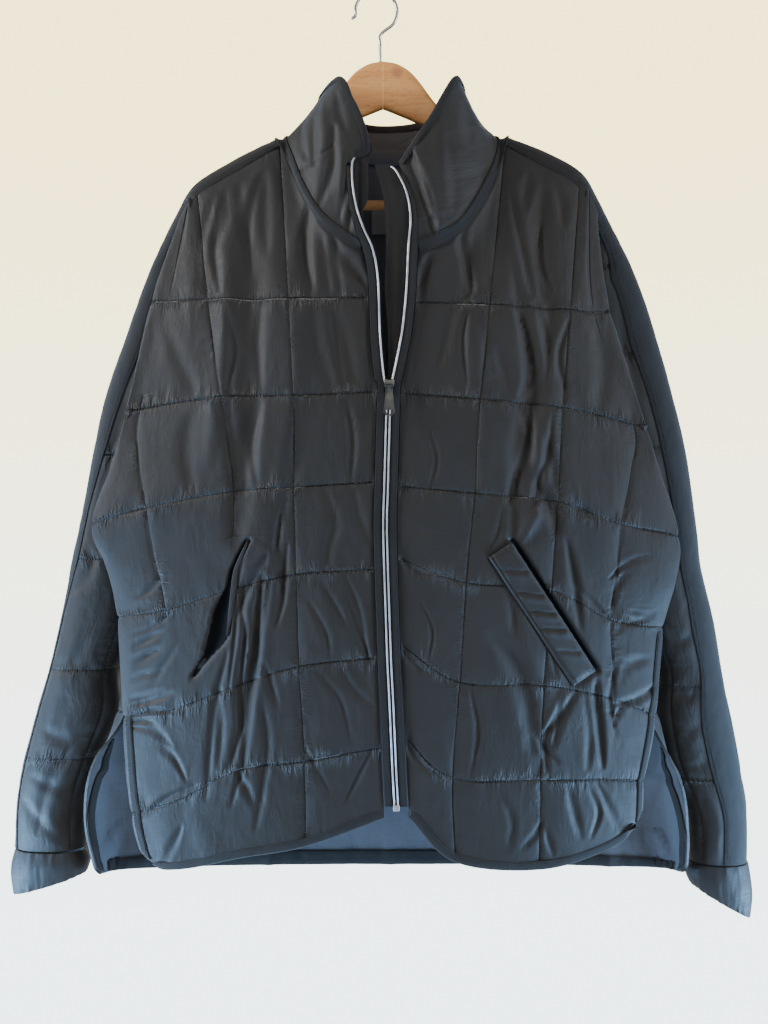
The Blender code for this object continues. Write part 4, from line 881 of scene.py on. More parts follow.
def swept(path, side, up, profile):
    """Rings of a profile of (along side, along up) pairs carried along a path."""
    profile = np.asarray(profile, float)
    return path[:, None] + side[:, None] * profile[:, :1] + up[:, None] * profile[:, 1:]


def sweep(name, path, side, up, profile, look, node):
    """A bent tape: a profile carried along a path, with its place on the cloth."""
    uv = np.stack(np.meshgrid(running(path), running(np.array(profile)), indexing="ij"), axis=-1)
    loft(name, swept(path, side, up, profile), look, node, uv=uv[..., ::-1].reshape(-1, 2) * MM)


def round_profile(radius, sides):
    """Points of a circle."""
    angles = 2 * math.pi * np.arange(sides) / sides
    return np.stack([radius * np.cos(angles), radius * np.sin(angles)], axis=1)


def headings(path):
    """The way a path runs at each of its points."""
    return unit(np.gradient(path, axis=0))


# Repeated small pieces: stitches and zip teeth, set along paths by geometry nodes ---------------


def runs_tree():
    """Sets a small shape at even steps along every line of a mesh, turned to follow it."""
    tree = bpy.data.node_groups.get("Runs of small pieces")
    if tree:
        return tree
    tree = bpy.data.node_groups.new("Runs of small pieces", "GeometryNodeTree")
    for name, kind in (
        ("Lines", "Geometry"), ("Pitch", "Float"), ("Piece", "Object"),
        ("Scatter", "Float"), ("Seed", "Int"), ("Finish", "Material"),
    ):
        tree.interface.new_socket(name, in_out="INPUT", socket_type="NodeSocket" + kind)
    tree.interface.new_socket("Geometry", in_out="OUTPUT", socket_type="NodeSocketGeometry")
    nodes, given = Nodes(tree), tree.nodes.new("NodeGroupInput").outputs
    add, scatter = nodes.add, given["Scatter"]
    curve = add("GeometryNodeMeshToCurve", Mesh=given["Lines"])
    even = add("GeometryNodeCurveToPoints", {"mode": "LENGTH"}, Curve=curve, Length=given["Pitch"])
    outward = add("GeometryNodeInputNamedAttribute", {"data_type": "FLOAT_VECTOR"}, Name="outward")
    aim = add("FunctionNodeAlignRotationToVector", {"axis": "X"}, Vector=even.outputs["Tangent"])
    upright = {"axis": "Z", "pivot_axis": "X"}
    turn = add("FunctionNodeAlignRotationToVector", upright, Rotation=aim, Vector=outward.outputs["Attribute"])
    low, high = (nodes.maths(operation, 1.0, scatter) for operation in ("SUBTRACT", "ADD"))
    vary = add("FunctionNodeRandomValue", {"data_type": "FLOAT"}, i2=low, i3=high, Seed=given["Seed"])
    piece = add("GeometryNodeObjectInfo", Object=given["Piece"]).outputs["Geometry"]
    spots = {"Points": even, "Instance": piece, "Rotation": turn, "Scale": vary.outputs[1]}
    real = add("GeometryNodeRealizeInstances", Geometry=add("GeometryNodeInstanceOnPoints", **spots))
    shade = add("GeometryNodeSetShadeSmooth", Geometry=real)
    done = add("GeometryNodeSetMaterial", Geometry=shade, Material=given["Finish"])
    nodes.give(tree.nodes.new("NodeGroupOutput").inputs["Geometry"], done)
    return tree


def evaluated(piece):
    """A mesh of an object with its modifiers applied."""
    view = bpy.context.evaluated_depsgraph_get()
    view.update()
    return bpy.data.meshes.new_from_object(piece.evaluated_get(view), depsgraph=view)


def runs(name, lines, pitch, rings, scatter, look, node=None, seed=1):
    """One piece from many lines of (points, outward normals), with a small shape set along them."""
    small = bpy.data.objects.new(name + " shape", ring_mesh(name + " shape", MM * np.array(rings)))
    start = np.cumsum([0] + [len(path) for path, _ in lines])
    edges = [(at, at + 1) for first, last in zip(start, start[1:]) for at in range(int(first), int(last) - 1)]
    points = frame_points(np.concatenate([path for path, _ in lines]))
    mesh = bpy.data.meshes.new(name + " lines")
    mesh.from_pydata(points.tolist(), edges, [])
    set_vectors(mesh, "outward", np.concatenate([out for _, out in lines])[:, [0, 2, 1]] * (1, 1, -1))
    guide = bpy.data.objects.new(name + " lines", mesh)
    bpy.context.scene.collection.objects.link(guide)
    change = guide.modifiers.new("runs", "NODES")
    change.node_group = runs_tree()
    finish = finishes()[look]
    values = {"Pitch": pitch * MM, "Piece": small, "Scatter": scatter, "Seed": seed, "Finish": finish}
    for socket in change.node_group.interface.items_tree:
        if socket.name in values:
            change[socket.identifier] = values[socket.name]
    found = evaluated(guide)
    found.name = name
    made = bpy.data.objects.new(name, found)
    bpy.context.scene.collection.objects.link(made)
    for spent in (guide, small):
        bpy.data.objects.remove(spent, do_unlink=True)
    if not found.polygons:
        raise RuntimeError(f"{name} came out empty")
    ride(made, node)


def stitch_rings(length, thick):
    """One stitch: a short thread, round in section, that dips into the cloth at both ends."""
    angles = [math.pi / 2 + math.pi * 2 / 3 * k for k in range(3)]
    return [
        [
            (share * length, size * thick / 2 * math.cos(a), size * thick / 2 * math.sin(a) + sink * thick)
            for a in angles
        ]
        for share, size, sink in ((-0.5, 0.45, -0.35), (0.0, 1, 0.0), (0.5, 0.45, -0.35))
    ]


# Finishes ------------------------------------------------------------------------------------


class Nodes:
    """A shader tree and short ways to fill it; an input is a value, a socket or a node's first output."""

    def __init__(self, tree):
        self.tree = tree

    def give(self, socket, value):
        value = value.outputs[0] if isinstance(value, bpy.types.Node) else value
        if isinstance(value, bpy.types.NodeSocket):
            self.tree.links.new(value, socket)
        else:
            socket.default_value = value

    def add(self, kind, settings=(), **inputs):
        """A node with its settings; inputs go by label or, written as i0, by place."""
        made = self.tree.nodes.new(kind if "Node" in kind else "ShaderNode" + kind)
        for label, value in dict(settings).items():
            setattr(made, label, value)
        for label, value in inputs.items():
            key = int(label[1:]) if label[1:].isdigit() else label.replace("_", " ")
            self.give(made.inputs[key], value)
        return made

    def maths(self, operation, *values, kind="Math"):
        return self.add(kind, {"operation": operation}, **{f"i{at}": value for at, value in enumerate(values)})

    def vectors(self, operation, *values):
        return self.maths(operation, *values, kind="VectorMath")

    def spread(self, value, low, high, to_low=0.0, to_high=1.0):
        """A value mapped smoothly from one range to another."""
        ends = {"From_Min": low, "From_Max": high, "To_Min": to_low, "To_Max": to_high}
        return self.add("MapRange", {"interpolation_type": "SMOOTHSTEP"}, Value=value, **ends)

    def blend(self, factor, first, second):
        """A mix of two colours."""
        return self.add("Mix", {"data_type": "RGBA"}, i0=factor, i6=first, i7=second).outputs[2]

    def noise(self, place, scale, detail=2.0, flat=False, **more):
        settings = {"noise_dimensions": "2D" if flat else "3D"}
        return self.add("TexNoise", settings, Vector=place, Scale=scale, Detail=detail, **more)

    def group(self, shared, **inputs):
        """One of the shared effects with its own values; gives its outputs."""
        return self.add("Group", {"node_tree": shared()}, **inputs).outputs

    def bump(self, height, strength, distance, **after):
        return self.add("Bump", Strength=strength, Distance=distance, Height=height, **after)


def shared(name, inputs, outputs):
    """Turns a function into one that gives its effect as a node group, made when first used."""

    def wrap(fill):
        def found():
            if name in bpy.data.node_groups:
                return bpy.data.node_groups[name]
            tree = bpy.data.node_groups.new(name, "ShaderNodeTree")
            for label, value in inputs.items():
                kind = {type(None): "Vector", float: "Float", tuple: "Color"}[type(value)]
                socket = tree.interface.new_socket(label, in_out="INPUT", socket_type="NodeSocket" + kind)
                if value is not None:
                    socket.default_value = value
            for label in outputs:
                kind = "NodeSocketColor" if label == "Colour" else "NodeSocketFloat"
                tree.interface.new_socket(label, in_out="OUTPUT", socket_type=kind)
            nodes, given = Nodes(tree), tree.nodes.new("NodeGroupInput")
            result = tree.nodes.new("NodeGroupOutput")
            for label, value in zip(outputs, fill(nodes, *(given.outputs[label] for label in inputs))):
                nodes.give(result.inputs[label], value)
            return tree

        return found

    return wrap


@shared("Woven threads", {"Vector": None, "Threads per metre": 2500.0, "Twill": 0.0}, ("Height", "Gap"))
def weave_group(nodes, place, threads, twill):
    """Warp and weft threads at a pitch, plain or stepped into a twill's diagonal ribs."""
    apart = nodes.add("SeparateXYZ", Vector=place).outputs
    u, v = (nodes.maths("MULTIPLY", apart[axis], threads) for axis in (0, 1))

    def threads_of(run, turns):
        return nodes.maths("ABSOLUTE", nodes.maths("SINE", nodes.maths("MULTIPLY", run, turns)))

    plain = nodes.maths("MULTIPLY", threads_of(u, math.pi), threads_of(v, math.pi))
    ribs = threads_of(nodes.maths("ADD", u, v), math.pi / 2)
    height = nodes.add("Mix", i0=twill, i2=plain, i3=ribs)
    return height, nodes.spread(height, 0.0, 0.35, 1.0, 0.0)


@shared(
    "Rumpled cloth", {"Vector": None, "Size": 0.012, "Stretch": 2.4, "Sharpness": 0.5}, ("Height", "Tone")
)
def rumple_group(nodes, place, size, stretch, sharpness):
    """Small uneven creases of a thin cloth, long soft ones and short sharp ones."""
    squeeze = nodes.add("CombineXYZ", X=1.0, Y=nodes.maths("DIVIDE", 1.0, stretch), Z=1.0)
    placed = nodes.vectors("MULTIPLY", place, squeeze)
    warp = nodes.noise(placed, 38.0, 1.0, True).outputs["Color"]
    centred = nodes.vectors("SUBTRACT", warp, (0.5, 0.5, 0.5))
    bent = nodes.vectors("MULTIPLY_ADD", centred, (0.012, 0.012, 0.0), placed)
    soft = nodes.noise(bent, nodes.maths("DIVIDE", 1.0, size), 3.0, True, Roughness=0.55)
    ridged = nodes.maths("ABSOLUTE", nodes.maths("SUBTRACT", soft, 0.5))
    ridged = nodes.maths("SUBTRACT", 1.0, nodes.maths("MULTIPLY", ridged, 5.0))
    mixed = nodes.add("Mix", i0=sharpness, i2=soft, i3=ridged)
    patch = nodes.noise(place, 14.0, 2.0, True)
    return nodes.maths("MULTIPLY", mixed, nodes.spread(patch, 0.36, 0.62, 0.35, 1.0)), patch


@shared(
    "Wear and lint",
    {"Vector": None, "Colour": (0.5, 0.5, 0.5, 1.0), "Faded": (0.6, 0.6, 0.6, 1.0), "Broad": 12.0, "Lint": 0.2},
    ("Colour", "Mask"),
)
def wear_group(nodes, place, colour, faded, broad, lint):
    """Uneven tone over a surface: broad fading, and fine specks of lint or dirt."""
    wide = nodes.spread(nodes.noise(place, broad, 3.0, Roughness=0.6), 0.38, 0.66)
    specks = nodes.maths("MULTIPLY", nodes.spread(nodes.noise(place, 900.0), 0.62, 0.78), lint)
    mask = nodes.maths("MINIMUM", nodes.maths("ADD", wide, specks), 1.0)
    return nodes.blend(mask, colour, faded), mask


@shared("Gathered stitching", {"Vector": None, "Rows": 0.0, "Columns": 0.0, "Size": 0.0022}, ("Height",))
def gather_group(nodes, place, rows, columns, size):
    """Short puckers square to the stitching, where the thread has pulled the cloth in."""
    per_metre, heights = nodes.maths("DIVIDE", 1.0, size), []
    for pulled, squeeze in ((rows, (1.0, 0.22, 0.0)), (columns, (0.22, 1.0, 0.0))):
        turned = nodes.vectors("MULTIPLY", place, squeeze)
        waves = nodes.noise(turned, per_metre, 2.0, True, Roughness=0.6, Distortion=0.4)
        heights.append(nodes.maths("MULTIPLY", waves, pulled))
    return (nodes.maths("ADD", *heights),)


@shared("Slub threads", {"Vector": None}, ("Tone",))
def slub_group(nodes, place):
    """Thicker threads that run across the cloth here and there."""
    across, down = (
        nodes.noise(nodes.vectors("MULTIPLY", place, (*scale, 0.0)), 1.0, 3.0, True, Roughness=0.65)
        for scale in ((30.0, 800.0), (700.0, 22.0))
    )
    return (nodes.spread(nodes.add("Mix", i0=0.3, i2=across, i3=down), 0.32, 0.68),)


def times(colour, factor):
    """A lighter or darker shade of a colour."""
    return (*(value * factor for value in colour[:3]), 1.0)


def material(name):
    """A new material and its tree."""
    made = bpy.data.materials.new(name)
    made.use_nodes = True
    return made, Nodes(made.node_tree)


def surface(made, **inputs):
    """Gives a material's shader its inputs."""
    nodes = Nodes(made.node_tree)
    for label, value in inputs.items():
        nodes.give(made.node_tree.nodes["Principled BSDF"].inputs[label.replace("_", " ")], value)
    return made


def cloth_place(nodes):
    """Where a point lies on its cloth, in metres."""
    return nodes.add("UVMap", {"uv_map": "cloth"}).outputs[0]


def own_place(nodes):
    """Where a point lies on its object, in metres."""
    return nodes.add("TexCoord").outputs["Object"]


def sewn_values(nodes):
    """What a cloth keeps of its sewing: the thread's line, which on the collar also holds painted shade along its
    turn, and the pulls along rows and columns.
    """
    kept = nodes.add("Attribute", {"attribute_name": "sewn"}).outputs["Vector"]
    return nodes.add("SeparateXYZ", Vector=kept).outputs


def quilted_finish(name, colour, lining, depth):
    """The thin cloth of the padded walls, or its lining; a small depth darkens it as painted shade."""
    made, nodes = material(name)
    place = cloth_place(nodes)
    # A depth below one darkens the colour, gloss and sheen: a shaded copy of the cloth, painted shade for a hollow.
    colour = times(colour, depth)
    height, gap = nodes.group(weave_group, Vector=place, Threads_per_metre=2600.0)
    small = nodes.group(rumple_group, Vector=place, Size=0.0085, Stretch=1.7, Sharpness=0.35)
    broad = nodes.group(rumple_group, Vector=place, Size=0.021, Stretch=2.6, Sharpness=0.5)
    faded = times(colour, 1.18 if lining else 1.25)
    tone = nodes.group(wear_group, Vector=place, Colour=colour, Faded=faded, Broad=9.0, Lint=0.12)
    woven = nodes.blend(nodes.maths("MULTIPLY", gap, 0.35), tone[0], times(colour, 0.55))
    slubs = nodes.group(slub_group, Vector=place)[0]
    woven = nodes.blend(nodes.maths("MULTIPLY", slubs, 0.55), woven, times(colour, 1.45))
    thread, across, down = sewn_values(nodes)
    gloss = bpy.context.scene.jacket_finish.nylon_roughness + (0.08 if lining else 0.0)
    pulls = nodes.group(gather_group, Vector=place, Rows=across, Columns=down)[0]
    relief = nodes.bump(broad[0], 0.4, 0.0014)
    for tall, strength, distance in (
        (small[0], 0.4, 0.0006),
        (pulls, 1.0, 0.0042),
        (slubs, 0.25, 0.0001),
        (height, 0.22, 0.00008),
    ):
        relief = nodes.bump(tall, strength, distance, Normal=relief)
    # Darker along the kept thread line; on the collar that line also holds painted shade at its turn.
    return surface(
        made,
        Base_Color=nodes.blend(nodes.maths("MULTIPLY", thread, 0.8), woven, times(colour, 0.14)),
        Roughness=nodes.spread(slubs, 0.0, 1.0, gloss - 0.05, gloss + 0.07),
        Specular_IOR_Level=0.36 * depth,
        Sheen_Weight=0.15 * depth if lining else 0.28,
        Sheen_Roughness=0.38,
        Sheen_Tint=(0.93, 0.96, 1.0, 1.0),
        Normal=relief,
    )


def twill_finish(name, colour):
    """Matte tape with a diagonal rib, dusty in places."""
    made, nodes = material(name)
    place = cloth_place(nodes)
    height, gap = nodes.group(weave_group, Vector=place, Threads_per_metre=1500.0, Twill=1.0)
    fine = nodes.group(rumple_group, Vector=place, Size=0.01, Stretch=2.0, Sharpness=0.2)
    faded, dark = times(colour, 1.5), times(colour, 0.45)
    tone, mask = nodes.group(wear_group, Vector=place, Colour=times(colour, 1.0), Faded=faded, Broad=16.0, Lint=0.35)
    ribbed = nodes.blend(nodes.maths("MULTIPLY", gap, 0.6), tone, dark)
    return surface(
        made,
        Base_Color=nodes.blend(nodes.maths("MULTIPLY", sewn_values(nodes)[0], 0.65), ribbed, dark),
        Roughness=nodes.spread(mask, 0.0, 1.0, 0.78, 0.9),
        Specular_IOR_Level=0.25,
        Sheen_Weight=0.2,
        Sheen_Roughness=0.5,
        Normal=nodes.bump(height, 0.5, 0.00022, Normal=nodes.bump(fine[0], 0.35, 0.0007)),
    )


def woven_finish(name, threads, twill, colour, faded, broad, lint, rough, relief, **more):
    """A narrow woven piece, plain or partly twilled."""
    made, nodes = material(name)
    place = cloth_place(nodes)
    height, gap = nodes.group(weave_group, Vector=place, Threads_per_metre=threads, Twill=twill)
    tone = nodes.group(wear_group, Vector=place, Colour=colour, Faded=faded, Broad=broad, Lint=lint)[0]
    gloss = nodes.spread(gap, 0.0, 1.0, *rough)
    return surface(made, Base_Color=tone, Roughness=gloss, Normal=nodes.bump(height, *relief), **more)


def hard_finish(name, colour, faded, broad, lint, pattern, rough, relief, **more):
    """A thread or a metal with a fine pattern that also sets its gloss, unless that follows the wear."""
    made, nodes = material(name)
    place = own_place(nodes)
    tone, mask = nodes.group(wear_group, Vector=place, Colour=colour, Faded=faded, Broad=broad, Lint=lint)
    fine = pattern(nodes, place)
    gloss = nodes.spread(mask if name == "silver coil" else fine, *rough)
    return surface(made, Base_Color=tone, Roughness=gloss, Normal=nodes.bump(fine, *relief), **more)


def wood_finish(name):
    """Pale wood: long grain, short flecks and one knot."""
    made, nodes = material(name)
    place = own_place(nodes)
    along, flecked = (
        nodes.add("Mapping", {"vector_type": "POINT"}, Vector=place, Scale=scale)
        for scale in ((10.0, 95.0, 120.0), (160.0, 1400.0, 1400.0))
    )
    grain = nodes.noise(along, 1.0, 6.0, Roughness=0.62, Distortion=0.6)
    fleck = nodes.spread(nodes.noise(flecked, 1.0, 1.0), 0.6, 0.74, 0.0, 0.55)
    wood = nodes.blend(nodes.spread(grain, 0.35, 0.65), (0.95, 0.46, 0.15, 1.0), (0.8, 0.33, 0.09, 1.0))
    wood = nodes.blend(fleck, wood, (0.3, 0.14, 0.055, 1.0))
    knot = nodes.vectors("DISTANCE", place, (0.0215, -0.0065, -0.0865)).outputs["Value"]
    ring = nodes.maths("SINE", nodes.maths("MULTIPLY", knot, 2600.0))
    near = nodes.spread(knot, 0.003, 0.008, 1.0, 0.0)
    mark = nodes.maths("MULTIPLY", near, nodes.maths("MULTIPLY_ADD", ring, 0.25, 0.6))
    return surface(
        made,
        Base_Color=nodes.blend(mark, wood, (0.5, 0.17, 0.1, 1.0)),
        Roughness=nodes.spread(grain, 0.3, 0.7, 0.33, 0.46),
        Coat_Weight=0.3,
        Coat_Roughness=0.25,
        Normal=nodes.bump(grain, 0.12, 0.0003),
    )


def twist(nodes, place):
    """The turns of a thread."""
    return nodes.add("TexWave", Vector=place, Scale=700.0, Distortion=0.5).outputs["Fac"]


def scuffs(nodes, place):
    """Fine dull marks on a coated coil."""
    return nodes.noise(place, 1400.0)


def drawn(nodes, place):
    """The grain of cast or drawn metal."""
    return nodes.noise(place, 800.0, 4.0, Roughness=0.7)


def grey(value, tint=0.0):
    return (value, value, value + tint, 1.0)


@functools.cache
def finishes():
    """Every finish of the object by name."""
    colours = bpy.context.scene.jacket_finish
    metal = {"broad": 45.0, "lint": 0.15, "pattern": drawn, "relief": (0.1, 0.00006), "Metallic": 1.0}
    made = (
        quilted_finish("padded nylon", colours.nylon_colour, False, 1.0),
        # The lining's colour holds painted light as well as its own tone.
        quilted_finish("lining", colours.lining_colour, True, 1.0),
        # The pocket lining is the lining at about a tenth of its brightness: painted shade inside the pocket gaps.
        quilted_finish("pocket lining", colours.lining_colour, True, 0.09),
        twill_finish("black twill", colours.twill_colour),
        woven_finish(
            "zip tape", 1800.0, 0.35, grey(0.012, 0.002), grey(0.022, 0.003), 12.0, 0.4, (0.7, 0.85),
            (0.5, 0.0002), Specular_IOR_Level=0.3,
        ),
        woven_finish(
            "grey label", 2200.0, 0.0, grey(0.25, 0.01), grey(0.32, 0.01), 30.0, 0.2, (0.55, 0.7), (0.4, 0.00015)
        ),
        hard_finish(
            "sewing thread", grey(0.009, 0.001), grey(0.02, 0.002), 40.0, 0.3, twist, (0.0, 1.0, 0.5, 0.7),
            (0.3, 0.0001),
        ),
        hard_finish(
            "silver coil", (0.62, 0.63, 0.66, 1.0), (0.4, 0.41, 0.43, 1.0), 60.0, 0.3, scuffs,
            (0.0, 1.0, 0.32, 0.52), (0.15, 0.0001), Metallic=0.35,
        ),
        hard_finish("gunmetal", grey(0.1), (0.22, 0.215, 0.2, 1.0), rough=(0.3, 0.7, 0.3, 0.48), **metal),
        hard_finish(
            "hook steel", grey(0.62, 0.01), (0.45, 0.44, 0.43, 1.0), rough=(0.3, 0.7, 0.14, 0.32), **metal
        ),
        wood_finish("beech"),
    )
    # Blender numbers a name that the frame's own finishes already hold.
    return {look.name.partition(".")[0]: look for look in made}




# The panels ----------------------------------------------------------------------------------


def rounded_corner(grid, rows_from_end, across_in, radius, sign):
    """Pulls a panel's lower outer corner in to a radius; distances are from the two edges."""
    p, q = np.clip(radius - across_in, 0, radius), np.clip(radius - rows_from_end, 0, radius)
    new_p = p * np.sqrt(1 - q**2 / (2 * radius**2))
    new_q = q * np.sqrt(1 - p**2 / (2 * radius**2))
    grid[..., 0] += sign * (new_p - p)
    grid[..., 1] += new_q - q


def edge_fade(cloth, top, bottom, first, last, floor=0.25):
    """How much relief each point keeps: less within a distance of each edge, in millimetres."""
    across, along = lengths(cloth.grid, 1), lengths(cloth.grid, 0)
    away = (along, along[-1:] - along, across, across[:, -1:] - across)
    keep = 1.0
    for distance, part in zip((top, bottom, first, last), away):
        if distance:
            keep = keep * (floor + (1 - floor) * smooth(0, distance, part))
    return keep


def padding(cloth, seams, seed):
    """A quilted cloth's padding at the sizes set in the scene."""
    sizes = bpy.context.scene.jacket_cloth
    return quilting(cloth, seams, sizes.puff / MM, 6.0, sizes.gather / MM, seed)


@functools.cache
def front_cloth(side):
    """A front with its quilting, its folds and the rounded corner at the vent."""
    rows_at, columns_at = steps(FRONT_STEPS, CROWD), steps(FRONT_ACROSS, CROWD)
    rows = [top_row(side.neck, side.shoulder, -1)]
    rows += [front_row(*row, depths) for row, depths in zip(side.front, FRONT_DEPTHS)]
    grid = net(rows, rows_at, columns_at)
    shift = zip_shift(grid[:, 0], side.zip, side.sign)
    grid[:, :, 0] += np.outer(shift, np.clip(1 - columns_at, 0, 1))
    across, along = lengths(grid, 1), lengths(grid, 0)
    fold = int(np.argmin(np.abs(columns_at - 4)))
    inwards = np.clip(across[:, fold : fold + 1] - across, 0, None)
    rounded_corner(grid, along[-1:] - along, inwards, CORNER_RADIUS, side.sign)
    cloth = Cloth(grid, -side.sign, rows_at, columns_at)
    past = lengths(grid, 1) - lengths(grid, 1)[:, fold : fold + 1]
    cloth.u = side.sign * np.where(past > 0, grid[:, fold : fold + 1, 0] + side.sign * past, grid[..., 0])
    cloth.v = grid[..., 1]
    seed = 20 if side.sign < 0 else 40
    height = padding(cloth, FRONT_SEAMS[side.name], seed) + creases(cloth, side.name)
    height = height + scored(cloth, SCORED[side.name]) + crumple(cloth, seed + 5, 0.62)
    keep = edge_fade(cloth, 9, 7, 4, 6) * untangled(cloth)
    flat, gap = pressed(side, cloth.grid[..., 0], cloth.grid[..., 1])
    cloth.lift(height * keep * (1 - flat) - 1.4 * flat - gap)
    return cloth


@functools.cache
def back_cloth():
    """The back with its gathered hem."""
    rows_at, columns_at = steps(BACK_STEPS, CROWD), steps(BACK_ACROSS, CROWD)
    rows = [back_top] + [back_row(*row) for row in BACK]
    grid = net(rows, rows_at, columns_at)
    across, along = lengths(grid, 1), lengths(grid, 0)
    rounded_corner(grid, along[-1:] - along, across, 11.0, -1)
    rounded_corner(grid, along[-1:] - along, across[:, -1:] - across, 11.0, 1)
    cloth = Cloth(grid, 1, rows_at, columns_at)
    height = padding(cloth, BACK_SEAMS, 70) + creases(cloth, "back") + crumple(cloth, 75, 0.7)
    across, along = lengths(cloth.grid, 1), lengths(cloth.grid, 0)
    from_hem = along[-1:] - along
    pulled = noise(across / 11, from_hem / 60, 91) + 0.5 * noise(across / 5.2, from_hem / 40, 92)
    gathered = 1.5 * pulled * bell(from_hem, 26) * smooth(2, 12, from_hem)
    cloth.lift(height * edge_fade(cloth, 9, 0, 5, 5) * untangled(cloth) + gathered)
    return cloth


def sleeve_seams(side):
    """Rings round a sleeve and the two lines along it."""
    rings = [("row", place, -4, 4) for place in SLEEVE_RINGS[side.name]]
    return rings + [("column", angle, 0, 20) for angle in SLEEVE_LINES]


def sleeve_cloth(side):
    """A sleeve, pressed flat where its band lies."""
    rows_at = steps(SLEEVE_STEPS)
    turn = np.linspace(-math.pi, math.pi, SLEEVE_ROUND + 1)
    found = spline(side.sleeve, rows_at)
    found[:, 5] = np.clip(found[:, 5], 0, 1)
    found[rows_at >= SEWN_ROW, 5] = 0
    grid = np.stack([sleeve_section(row, turn) for row in found])
    cloth = Cloth(grid, -side.sign, rows_at, turn, int(np.argmin(np.abs(rows_at - SEWN_ROW))))
    seed = 110 if side.sign < 0 else 130
    height = padding(cloth, sleeve_seams(side), seed) + creases(cloth, "sleeve " + side.name)
    height = height + crumple(cloth, seed + 4, 0.85, 45.0)
    keep = edge_fade(cloth, 12, 10, 0, 0)
    seam_fade = smooth(0, 0.25, math.pi - np.abs(turn))[None, :]
    centre = np.radians(np.interp(found[:, 0], *zip(*side.roll)))[:, None]
    reach = np.arcsin(np.minimum(0.93, BAND_WIDTH / 2 / found[:, 4]))[:, None]
    under_band = 0.12 + 0.88 * smooth(reach, reach + 0.3, np.abs(turn[None, :] - centre))
    cloth.lift(height * keep * (0.15 + 0.85 * seam_fade) * under_band)
    return cloth


def cuff_cloth(side):
    """A cuff, gathered at both its edges."""
    turn = np.linspace(-math.pi, math.pi, CUFF_ROUND + 1)
    rows_at = np.linspace(0, 2, CUFF_STEPS + 1)
    share = (1 - np.cos(turn)) / 2
    rows = []
    for drop_out, drop_in, outer, inner, half in spline(side.cuff, rows_at):
        section = sleeve_section((0, outer, inner, 21, half, 0.0), turn)
        section[:, 1] = drop_out + (drop_in - drop_out) * share
        rows.append(section)
    cloth = Cloth(np.stack(rows), -side.sign, rows_at, turn, 0)
    across, along = lengths(cloth.grid, 1), lengths(cloth.grid, 0)
    girth = across / across[:, -1:] * 2 * math.pi
    seed = 150 if side.sign < 0 else 160
    wave = sum(
        size * np.sin(count * girth + 2.1 * count + 0.35 * noise(girth * 2, along / 20, seed))
        for count, size in ((9, 0.35), (17, 0.4), (26, 0.3), (41, 0.2))
    )
    from_hem = along[-1:] - along
    gathered = wave * (0.1 + 0.5 * bell(along, 6) + 0.75 * bell(from_hem, 5))
    gathered += 0.6 * noise(girth * 3, along / 14, seed + 1) + 0.35 * noise(girth * 9, along / 22, seed + 2)
    roll = 1.6 * np.sin(np.pi * np.clip(rows_at / 2, 0, 1))[:, None] ** 0.6 - 1.1
    cloth.lift(0.8 * gathered + roll)
    return cloth


def band_cloth(side):
    """The overarm band: an arch over the shoulder, then along the outer edge of the sleeve."""
    across = np.linspace(-1, 1, BAND_ACROSS + 1)
    path = spline(side.ridge, np.arange(0, len(side.ridge) - 0.99, 1 / 18))
    way = np.gradient(path, axis=0)
    deep = np.interp(np.linspace(0, 3, len(path)), range(4), SHOULDER_FALL[side.name])
    rows = []
    for point, heading, fall in zip(path, way, deep):
        inward = np.array([-heading[1], heading[0], 0.0]) * np.sign(heading[0])
        inward /= np.linalg.norm(inward)
        angle = across * math.pi / 2
        drop_in = (fall * (1 - np.cos(angle)))[:, None]
        rows.append(point + inward * drop_in + np.outer(14.2 * np.sin(angle), (0, 0, 1)))
    found = spline(side.sleeve, np.linspace(1, len(side.sleeve) - 1, 300))
    found[:, 5] = 0
    for row in found:
        reach = math.asin(min(0.93, BAND_WIDTH / 2 / row[4]))
        turned = math.radians(np.interp(row[0], *zip(*side.roll)))
        section = sleeve_section(row, across * reach + turned)
        out = unit(np.gradient(section[:, [0, 2]], axis=0)[:, ::-1] * (side.sign, -side.sign))
        section[:, [0, 2]] += out * (1.7 - 0.7 * across[:, None] ** 4)
        rows.append(section)
    rows = np.stack(rows)
    gap = len(path)
    near = rows[np.r_[0 : gap - 5, gap + 5 : len(rows)]]
    near[gap - 15 : gap + 10] = smoothed(near[gap - 15 : gap + 10], 12)
    run = running(near[:, BAND_ACROSS // 2])
    even = np.linspace(0, run[-1], BAND_STEPS + 1)
    grid = spline(near, np.interp(even, run, np.arange(len(run))))
    cloth = Cloth(grid, -side.sign, columns=across)
    seed = 170 if side.sign < 0 else 180
    u, v = lengths(grid, 1), lengths(grid, 0)
    ripple = 0.3 * noise(u / 14, v / 30, seed) + 0.2 * noise(u / 7, v / 9, seed + 1)
    cloth.seam = 0.8 * bell(1 - np.abs(across), 0.05)[None, :] + 0 * u
    cloth.lift(ripple * (1 - across[None, :] ** 6))
    return cloth


